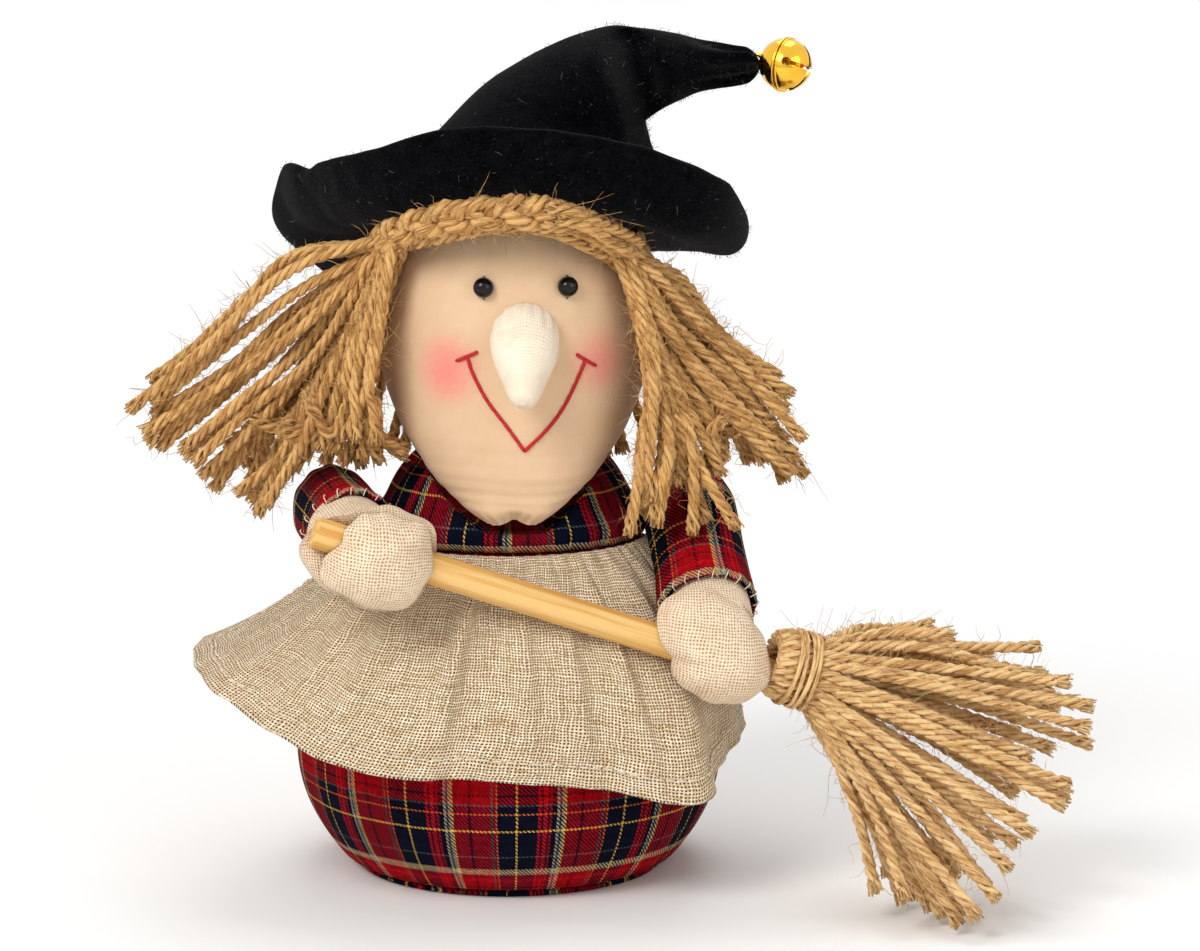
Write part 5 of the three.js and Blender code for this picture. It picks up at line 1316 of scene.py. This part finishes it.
def brass_finish():
    """Gold-plated brass: a mirror with the faint haze and hairlines of a tumbled part."""
    material, tree, shader = finish("gold-plated pressed brass", {"Metallic": 1.0})
    haze = noise(tree, object_point(tree), 350.0, 3.0)
    tree.links.new(mapped(tree, haze, 0.3, 0.7, 0.08, 0.2), shader.inputs["Roughness"])
    paint(tree, shader, blended(tree, haze, "#f0b028", "#fbcf52"), haze, 0.12, 0.00015)
    return material


def half_shell(name, upper):
    """One half of the bell about its own middle, along +Z: a bisected sphere with a wall."""
    made = fresh(name, bpy.ops.mesh.primitive_uv_sphere_add, segments=96, ring_count=64,
                 radius=BELL_RADIUS * MM)
    edge = (1 if upper else -1) * BELL_GAP / 2 * MM
    edit_whole((bpy.ops.mesh.bisect, {"plane_co": (0, 0, edge), "plane_no": (0, 0, 1), "clear_inner": upper,
                                      "clear_outer": not upper}))
    apply(made, "SOLIDIFY", thickness=BELL_WALL * MM, offset=-1)
    return made


def ring_of_wire(steps, radius, wire, height, **settings):
    return fresh("wire", bpy.ops.mesh.primitive_torus_add, major_segments=steps, minor_segments=12,
                 major_radius=radius * MM, minor_radius=wire * MM, location=(0, 0, height * MM), **settings)


def cut(piece, cutter):
    """Cuts one closed mesh out of another and removes the cutter."""
    apply(piece, "BOOLEAN", operation="DIFFERENCE", solver="EXACT", object=cutter)
    bpy.data.objects.remove(cutter)


brass = brass_finish()
cap, cup = half_shell("bell_cap_shell", False), half_shell("bell_cup_shell", True)
slit_height = BELL_RADIUS * 0.42
for turn in (math.radians(45), math.radians(135)):
    slit = fresh("slit", bpy.ops.mesh.primitive_cube_add, size=1, rotation=(0, 0, turn),
                 location=(0, 0, (slit_height + BELL_RADIUS / 2) * MM))
    slit.scale = (20 * MM, BELL_SLIT * MM, BELL_RADIUS * MM)
    bpy.ops.object.transform_apply(location=False, rotation=False, scale=True)
    cut(cup, slit)
    for end in (-BELL_RADIUS, BELL_RADIUS):
        where = (end * math.cos(turn), end * math.sin(turn), slit_height)
        cut(cup, fresh("hole", bpy.ops.mesh.primitive_cylinder_add, vertices=32, radius=BELL_HOLE * MM,
                       depth=BELL_RADIUS * MM, location=[c * MM for c in where],
                       rotation=(math.pi / 2, 0, turn + math.pi / 2)))
for shell, way, node in ((cap, -1, "bell_cap"), (cup, 1, "bell_cup")):
    apply(shell, "BEVEL", width=0.09 * MM, segments=2, limit_method="ANGLE", angle_limit=math.radians(50))
    parts = [shell, ring_of_wire(96, BELL_RADIUS + 0.02, BELL_RIM, way * (BELL_GAP / 2 + BELL_RIM))]
    if shell is cap:
        low = -(BELL_RADIUS + LOOP_RADIUS * LOOP_RISE)
        parts.append(ring_of_wire(40, LOOP_RADIUS, LOOP_WIRE, low, rotation=(math.pi / 2, 0, 0)))
    joined(parts)
    shell.data.transform(bell_frame)
    bpy.ops.object.shade_smooth_by_angle(angle=math.radians(40))
    dress(shell, brass, "brass", "bell", node)

# Black thread, through the loop and into the gathered felt
loops = []
for k in (-1, 0, 1):
    spread = np.array([0, 0.9 * k, 0.63 * k])
    route = [HAT_TIP - BELL_WAY * 1.6 + spread, LOOP_CENTRE - BELL_WAY * 0.6 + [0, 0, 1.1],
             LOOP_CENTRE + BELL_WAY * 0.7 + [0, -0.1, 0.2], LOOP_CENTRE - BELL_WAY * 0.7 - [0, 0, 1.0],
             HAT_TIP - BELL_WAY * 1.8 - spread]
    loops.append((through(route, 0.3), 0.2))
dress(sweep("bell_thread", loops, 6), black_thread, "felt", "doll")

# Broom
# A bare wooden dowel, with lengths of the hair's jute cord laid round its end and tied on with twine.
# The cords fan out forward and down.

RIGHT_HAND, LEFT_HAND = np.array([-32, -58, 88.2]), np.array([50.5, -43, 64.2])
RIGHT_GRIP, LEFT_GRIP = RIGHT_HAND + [0, 0, 2.6], LEFT_HAND + [0, 1, -3.2]
HANDLE_RADIUS, HANDLE_LENGTH, HANDLE_OVERHANG = 3.8, 136.0, 14.0
HANDLE_WAY = (LEFT_GRIP - RIGHT_GRIP) / np.linalg.norm(LEFT_GRIP - RIGHT_GRIP)
HANDLE_UP = np.array([0, 0, 1]) - HANDLE_WAY[2] * HANDLE_WAY
HANDLE_UP /= np.linalg.norm(HANDLE_UP)
HANDLE_FRONT = np.cross(HANDLE_WAY, HANDLE_UP)
HANDLE_START = RIGHT_GRIP - HANDLE_OVERHANG * HANDLE_WAY
BUNDLE_RADIUS, BUNDLE_LENGTH, BUNDLE_RISE = 9.0, 20.0, 3.4
BUNDLE_START = HANDLE_START + HANDLE_WAY * (HANDLE_LENGTH - BUNDLE_LENGTH + 1) + HANDLE_UP * BUNDLE_RISE
# Where the front cords end, from the top of the fan to its foot
FAN_ENDS = [
    (107.5, -38, 65.7), (110.4, -32, 58.7), (124.9, -40, 56.4), (135.7, -44, 55.3), (138.3, -36, 48.6),
    (141.1, -46, 49.9), (140.3, -50, 45.4), (141.3, -43, 39.7), (125.8, -54, 39.4), (134.4, -60, 33.7),
    (135.3, -53, 29.3), (133.1, -62, 29.1), (125.2, -66, 23.5), (122.2, -60, 19.4), (119.7, -70, 16.2),
    (116.2, -75, 10.3), (111.8, -77, 6.2), (107.8, -72, 3), (104.3, -64, 3), (95.3, -72, 9.2),
]
TWINE_TURNS, TWINE_PITCH, TWINE_RADIUS = 6, 1.15, 0.48
CHAMFER = 0.45
BRUSH_LOW, CORD_LOW = 3, 0.8  # least height of a cord's end and of its middle line above the floor


def wood_finish():
    """Turned pale hardwood dowel: fine straight grain along it, rings on its end, bare and satin."""
    material, tree, shader = finish("bare wooden dowel", {"Roughness": 0.68, "Specular IOR Level": 0.2})
    turn = Vector((0, 0, 1)).rotation_difference(Vector(HANDLE_WAY)).to_euler()
    centre = [c * MM for c in HANDLE_START + [0, 0, 2.5]]
    along = put(tree, "Mapping", {"Vector": object_point(tree), "Location": centre, "Rotation": turn},
                vector_type="TEXTURE")
    run = calc(tree, "MULTIPLY", along.outputs[0], (1000, 1000, 28), kind="VectorMath")
    drift = noise(tree, run, 0.35, 3.0)
    rings = put(tree, "TexWave", {"Vector": run, "Scale": 0.16, "Distortion": 3.5, "Detail": 2.0,
                                  "Detail Scale": 1.2}, wave_type="RINGS", rings_direction="Z")
    streaks = noise(tree, run, 2.2, 4.0)
    total = calc(tree, "MULTIPLY_ADD", rings.outputs[1], 0.16, drift)
    total = calc(tree, "MULTIPLY_ADD", streaks, 0.55, total)
    shade = ramped(tree, total, (0.55, "#c68c49"), (0.78, "#d6a055"), (1.0, "#e9bf7c"))
    paint(tree, shader, shade, streaks, 0.3, 0.00012)
    return material


stops = np.concatenate([[0, CHAMFER], np.linspace(CHAMFER, HANDLE_LENGTH - CHAMFER, 60)[1:], [HANDLE_LENGTH]])
dowel_radii = np.where((stops == 0) | (stops == HANDLE_LENGTH), HANDLE_RADIUS - CHAMFER, HANDLE_RADIUS)
handle = sweep("broom_dowel", [(HANDLE_START + stops[:, None] * HANDLE_WAY, dowel_radii)], 64)
bpy.ops.object.shade_smooth_by_angle(angle=math.radians(30))
dress(handle, wood_finish(), "wood", "broom", "broom_handle")

picks = np.random.default_rng(17)
brush = []
for index, tip in enumerate(FAN_ENDS):
    share = index / (len(FAN_ENDS) - 1)
    outer = 7.7 - 1.6 * (index % 2)
    # A cord in front, one in the middle of the bundle and one behind
    for row, (ring, way) in enumerate(((outer, 1), (5.4, 1), (outer, -1))):
        turn = math.pi * (0.03 + 0.94 * share) * way
        spot = ring * (HANDLE_UP * math.cos(turn) + HANDLE_FRONT * math.sin(turn))
        end = np.array(tip)
        if row:
            end = end + [-picks.uniform(1, 10), 11 * row + picks.uniform(-3, 3), picks.uniform(-4, 4)]
        end[2] = max(end[2], BRUSH_LOW)
        release = BUNDLE_START + spot * 1.05 + HANDLE_WAY * 11.5
        middle = (release + end) / 2 + [2.5 * share, 0, 3.5 * (0.7 - share)] + picks.normal(size=3) * 1.2
        route = [BUNDLE_START + spot * 0.85, BUNDLE_START + spot + HANDLE_WAY * 2.5,
                 BUNDLE_START + spot * 0.97 + HANDLE_WAY * 6.5, release, middle, end]
        brush.append([[(np.maximum(line, [-1e3, -1e3, CORD_LOW]), width) for line, width in strands]
                      for strands in twisted(through(route, 1.5), picks, fluff=0.5, bare=0.1)])
broom_jute = jute_finish("#7d5427", "#c4935a", "#efcb91")
jute_piece("broom_cords", brush, 5, broom_jute, "broom_brush", "broom")

stops = np.linspace(0, TAU * TWINE_TURNS, 30 * TWINE_TURNS)
wobble = 0.35 * np.sin(1.3 * stops) + 0.25 * np.sin(0.37 * stops + 1)
wound = BUNDLE_START + HANDLE_WAY * (3.6 + TWINE_PITCH * stops[:, None] / TAU + wobble[:, None])
wound = wound + (BUNDLE_RADIUS + 0.35) * (HANDLE_UP * np.cos(stops)[:, None]
                                          + HANDLE_FRONT * np.sin(stops)[:, None])
tails = [through([wound[end], wound[end] + 3 * away + [0, 0, -1.5], wound[end] + 7 * away + [0, -1, -6]], 0.8)
         for end, away in ((0, HANDLE_FRONT), (-1, HANDLE_FRONT + HANDLE_WAY * 0.6))]
twine = sweep("broom_twine", [(wound, TWINE_RADIUS)] + [(tail, TWINE_RADIUS * 0.8) for tail in tails], 8)
dress(twine, broom_jute, "jute", "broom", "broom_binding")

# Arms
# Tartan sleeves stuffed firm and sewn to the body at the shoulder. Each muslin mitten is tucked into
# its cuff, caught down with small stitches and folded round the handle.

SHOULDER_SPREAD, SHOULDER_BACK, SHOULDER_HEIGHT, SHOULDER_RADIUS = 45.0, -4.0, 90.0, 12.0
SLEEVE_LENGTH, CUFF_RADIUS, CUFF_INSIDE, CUFF_TUCK = 31.0, 12.4, 10.4, 3.0
BODY_CLEARANCE, APRON_CLEARANCE, APRON_NEAR = 0.6, 1.4, 16
# Distance down the arm and radius: the round shoulder, the sleeve, and the cuff turned in at its end
ROUND = [(-SHOULDER_RADIUS * math.cos(t), SHOULDER_RADIUS * math.sin(t))
         for t in np.linspace(0, math.pi / 2, 10)]
SLEEVE_OUTLINE = np.array(ROUND + [(6, 12.1), (14, 12.0), (22, 12.2), (28, 12.6), (30.2, 12.5), (31, 12.0),
                                   (30.8, 11.4), (29.5, 11.1), (27, 11.0), (27, 0)])
spots = np.arange(cloth_lines.shape[0] * cloth_lines.shape[1]).reshape(cloth_lines.shape[:2])
corners = np.stack([spots[:-1, :-1], spots[:-1, 1:], spots[1:, 1:], spots[1:, :-1]], axis=-1).reshape(-1, 4)
apron_tree = BVHTree.FromPolygons(cloth_lines.reshape(-1, 3).tolist(), corners.tolist())


def clear_of_body(points):
    """Moves points that are in the body or the apron to just outside."""
    height = points[:, 2]
    dome = np.sqrt(np.clip(1 - ((height - BODICE_LOW) / BODICE_HEIGHT) ** 2, 0, 1)) * WAIST_RADIUS
    body = np.where(height < WAIST_HEIGHT, belly(height), dome) + BODY_CLEARANCE
    out = np.linalg.norm(points[:, :2], axis=1)
    points[:, :2] *= np.maximum(body / np.maximum(out, 1), 1)[:, None]
    least = APRON_THICKNESS / 2 + APRON_CLEARANCE
    for k, point in enumerate(points):
        place, normal, _, away = apron_tree.find_nearest(Vector(point), APRON_NEAR)
        if place is None:
            continue
        normal = np.array(normal) * (1 if normal @ Vector((place.x, place.y, 0)) > 0 else -1)
        depth = (point - np.array(place)) @ normal
        if abs(depth) > 0.7 * away and depth < least:
            points[k] = point + normal * (least - depth)
    return points


def arm_axes(side, hand):
    """The shoulder, the way down the arm, and two ways square to it, the first to the viewer's right."""
    shoulder = np.array([side * SHOULDER_SPREAD, SHOULDER_BACK, SHOULDER_HEIGHT])
    along = (hand - shoulder) / np.linalg.norm(hand - shoulder)
    right = np.cross(along, [0, 0, 1])
    right *= -1 if right[0] < 0 else 1
    right /= np.linalg.norm(right)
    return shoulder, along, right, np.cross(right, along)


def sleeve(name, side, hand, slim, longer, node, body):
    """A sleeve; slim is how far its outer side is drawn in, longer how far its cuff is drawn down."""
    axes = arm_axes(side, hand)
    run = np.concatenate([[0], np.cumsum(np.hypot(*np.diff(SLEEVE_OUTLINE, axis=0).T))])

    def place(u, v):
        far, wide = (np.interp(v * run[-1], run, SLEEVE_OUTLINE[:, k]) for k in (0, 1))
        angle = from_front(u)
        puckers = 0.3 * np.sin(9 * angle + 2 * np.sin(2 * angle)) * (1 - smooth(far, -10, 8))
        cuff = 0.22 * np.sin(16 * angle) * smooth(far, 25, 30)
        wide = wide - 0.35 + (puckers + cuff) * (wide > 6)
        wide *= 1 - slim * np.clip(side * np.sin(angle), 0, 1)
        return clear_of_body(round_line(axes, far + longer * smooth(far, 6, 26), wide, angle))

    def weave(u, v):
        down = v * run[-1] - SHOULDER_RADIUS * 1.57
        return (u - 0.25) * 3 * SETT * 0.9 + 3.5, 17.3 - (SLEEVE_LENGTH - down)

    def core(u, v):
        """The stuffing, well inside the sleeve."""
        far = 34 * (0.5 - 0.5 * np.cos(math.pi * v)) - 7
        return round_line(axes, far, 7.5 * np.sin(math.pi * v) ** 0.6, from_front(u), side)

    stuffing = ball(node.split("_")[0] + "_arm_fibre", 40, 24, core, lambda u, v: (20 * u, 30 * v))
    dress(stuffing, fibre, "stuffing", body, body + "_filling")
    made = ball(name, 88, 64, place, weave)
    far = (points_of(made) - axes[0]) @ axes[1]
    stuff(made, 2, 1 - smooth(far, -4, 6) + smooth(far, 22, 27), 0.35)
    dress(made, tartan, "tartan", body, node)


RIGHT_LONGER, LEFT_LONGER = 1.0, 4.0
sleeve("right_sleeve_cloth", -1, RIGHT_HAND, 0.24, RIGHT_LONGER, "right_sleeve", "right_arm")
sleeve("left_sleeve_cloth", 1, LEFT_HAND, 0, LEFT_LONGER, "left_sleeve", "left_arm")

# Mittens: two padded halves that meet along the handle, the palm behind it and the fingers folded over
# its front. Each outline is an angle from above the handle towards the brush, and a reach from the grip.
RIGHT_FRONT = np.array([
    (-40, 8.4), (-5, 9.0), (30, 10.8), (50, 14.4), (70, 15.0), (94, 15.2), (116, 16.6), (132, 16.6),
    (150, 15.2), (175, 13.2), (200, 12.9), (222, 13.4), (240, 11.4), (258, 8.6), (275, 7.8), (320, 8.4),
    (355, 9.0), (390, 10.8),
])
RIGHT_BACK = np.array([
    (-40, 9.6), (-5, 10.8), (30, 13.0), (53, 16.0), (73, 16.6), (115, 17.2), (147, 16.0), (175, 13.9),
    (200, 13.6), (232, 15.6), (252, 16.4), (268, 14.4), (292, 11.4), (320, 9.6), (355, 10.8), (390, 13.0),
])
LEFT_FRONT = np.array([
    (-41, 18.8), (-17, 16.4), (11, 13.6), (50, 12.7), (78, 13.7), (104, 14.2), (128, 12.9), (163, 11.1),
    (202, 10.4), (230, 11.4), (246, 11.0), (256, 11.2), (270, 15.2), (289, 18.2), (301, 19.4),
    (319, 18.8), (343, 16.4), (371, 13.6),
])
LEFT_BACK = LEFT_FRONT * [1, 0.94]
HOLD = HANDLE_RADIUS + 0.35  # inner wall of the fold, just clear of the dowel
WRIST_END = 0.12  # share of the ball's height that each closed end of the wrist takes
CATCHES, CATCH_THREAD = 22, 0.14


def mitten(name, side, hand, grip, halves, longer, node, body):
    """A mitten: halves gives the outline, the depth and the way, to the viewer or from it, of each half."""
    axes = arm_axes(side, hand)
    shoulder, along, right, over = axes
    cuff_end = SLEEVE_LENGTH + longer

    def tucked(points):
        """Keeps the cloth inside the cuff as far as that reaches, and lets it swell out from there."""
        off = points - shoulder
        far = off @ along
        off = off - far[:, None] * along
        wide = np.maximum(np.linalg.norm(off, axis=1), 0.1)
        limit = CUFF_INSIDE + 1.6 * np.maximum(far - cuff_end, 0) ** 0.8
        return points - off * (1 - np.minimum(limit / wide, 1))[:, None]

    pieces = []
    for index, (outline, deep, facing) in enumerate(halves):
        def flat_place(u, v):
            """The angle, the share of the way out to the outline, and the outline's reach there."""
            angle = 360 * u
            reach = follow(outline, np.where(angle > outline[-1, 0], angle - 360, angle))[0]
            return angle, np.sin(math.pi * v), reach

        def place(u, v):
            angle, share, reach = flat_place(u, v)
            reach = reach + 0.25 * np.sin(np.radians(9 * angle)) * share
            t, h = reach * share * np.sin(np.radians(angle)), reach * share * np.cos(np.radians(angle))
            cover = HOLD * np.exp(-(h / 4.2) ** 2) + 0.3
            dome = (deep - 0.3) * (1 - share ** 2.3) ** 0.55
            outer = ((cover + 0.9) ** 4 + dome ** 4) ** 0.25
            edge = smooth(share, 0.965, 1) * (v < 0.5)
            rise = np.where(v < 0.5, outer * (1 - edge) + cover * edge, cover) * facing
            points = grip + t[:, None] * HANDLE_WAY + h[:, None] * HANDLE_UP + rise[:, None] * HANDLE_FRONT
            return clear_of_body(tucked(points))

        def weave(u, v):
            angle, share, reach = flat_place(u, v)
            run = reach * (0.4 * share + 1.5 * np.minimum(v, 1 - v))
            return run * np.sin(np.radians(angle + 12)), run * np.cos(np.radians(angle + 12))

        half = ball(name + str(index), 120, 72, place, weave)
        tall = column_v(half)
        stuff(half, 1.5, smooth(np.sin(math.pi * tall), 0.7, 0.95) + (tall > 0.5), 0.35)
        pieces.append(half)
    wrist_to = np.linalg.norm(grip - shoulder) - HANDLE_RADIUS - 3

    def wrist_place(u, v):
        share = np.clip((v - WRIST_END) / (1 - 2 * WRIST_END), 0, 1)
        wide = CUFF_INSIDE * np.clip(np.minimum(v, 1 - v) / WRIST_END, 0, 1)
        far = SLEEVE_LENGTH - CUFF_TUCK + (wrist_to - SLEEVE_LENGTH + CUFF_TUCK) * share
        return clear_of_body(round_line(axes, far, wide, from_front(u)))

    pieces.append(ball(name + "_wrist", 64, 24, wrist_place, lambda u, v: (from_front(u) * 10, 18 * v)))
    made = joined(pieces)
    made.name = made.data.name = name
    dress(made, muslin, "muslin", body, node)
    # Small stitches that catch the mitten to the cuff: how far down the arm and out each of their points is
    catches = []
    for angle in np.arange(0, TAU, TAU / CATCHES):
        ring = math.sin(angle) * right + math.cos(angle) * over
        lean = math.cos(angle) * right - math.sin(angle) * over
        catches.append((clear_of_body(np.array([
            shoulder + along * (cuff_end + far) + ring * (CUFF_RADIUS + out) + lean * 0.4 * far
            for far, out in ((-1.7, -0.1), (-0.9, 0.25), (0.1, 0.0), (0.7, -1.4))])), CATCH_THREAD))
    dress(sweep(name + "_stitches", catches, 5), cream_thread, "muslin", body)


mitten("right_mitten", -1, RIGHT_HAND, RIGHT_GRIP, [(RIGHT_FRONT, 12.0, 1), (RIGHT_BACK, 11.0, -1)],
       RIGHT_LONGER, "right_hand", "right_arm")
mitten("left_mitten", 1, LEFT_HAND, LEFT_GRIP, [(LEFT_FRONT, 13.5, 1), (LEFT_BACK, 11.0, -1)],
       LEFT_LONGER, "left_hand", "left_arm")

# Fillings
# Out of sight are a bag of plastic pellets low in the body and a steel ball in the bell. The frame's own
# solids of both keep their shapes and get plain finishes of their kind.

pellets = hidden_finish("bagged plastic pellets", ("#c9c4b8", "#e6e2d8"), 300.0, {"Roughness": 0.75})
steel = hidden_finish("plain steel ball", ("#a9acb0", "#cdd0d3"), 500.0, {"Metallic": 1.0, "Roughness": 0.3})
for node, material in (("pellet_bag", pellets), ("bell_ball", steel)):
    carried = bpy.data.objects[node]
    for place in carried.material_slots:
        place.material = material
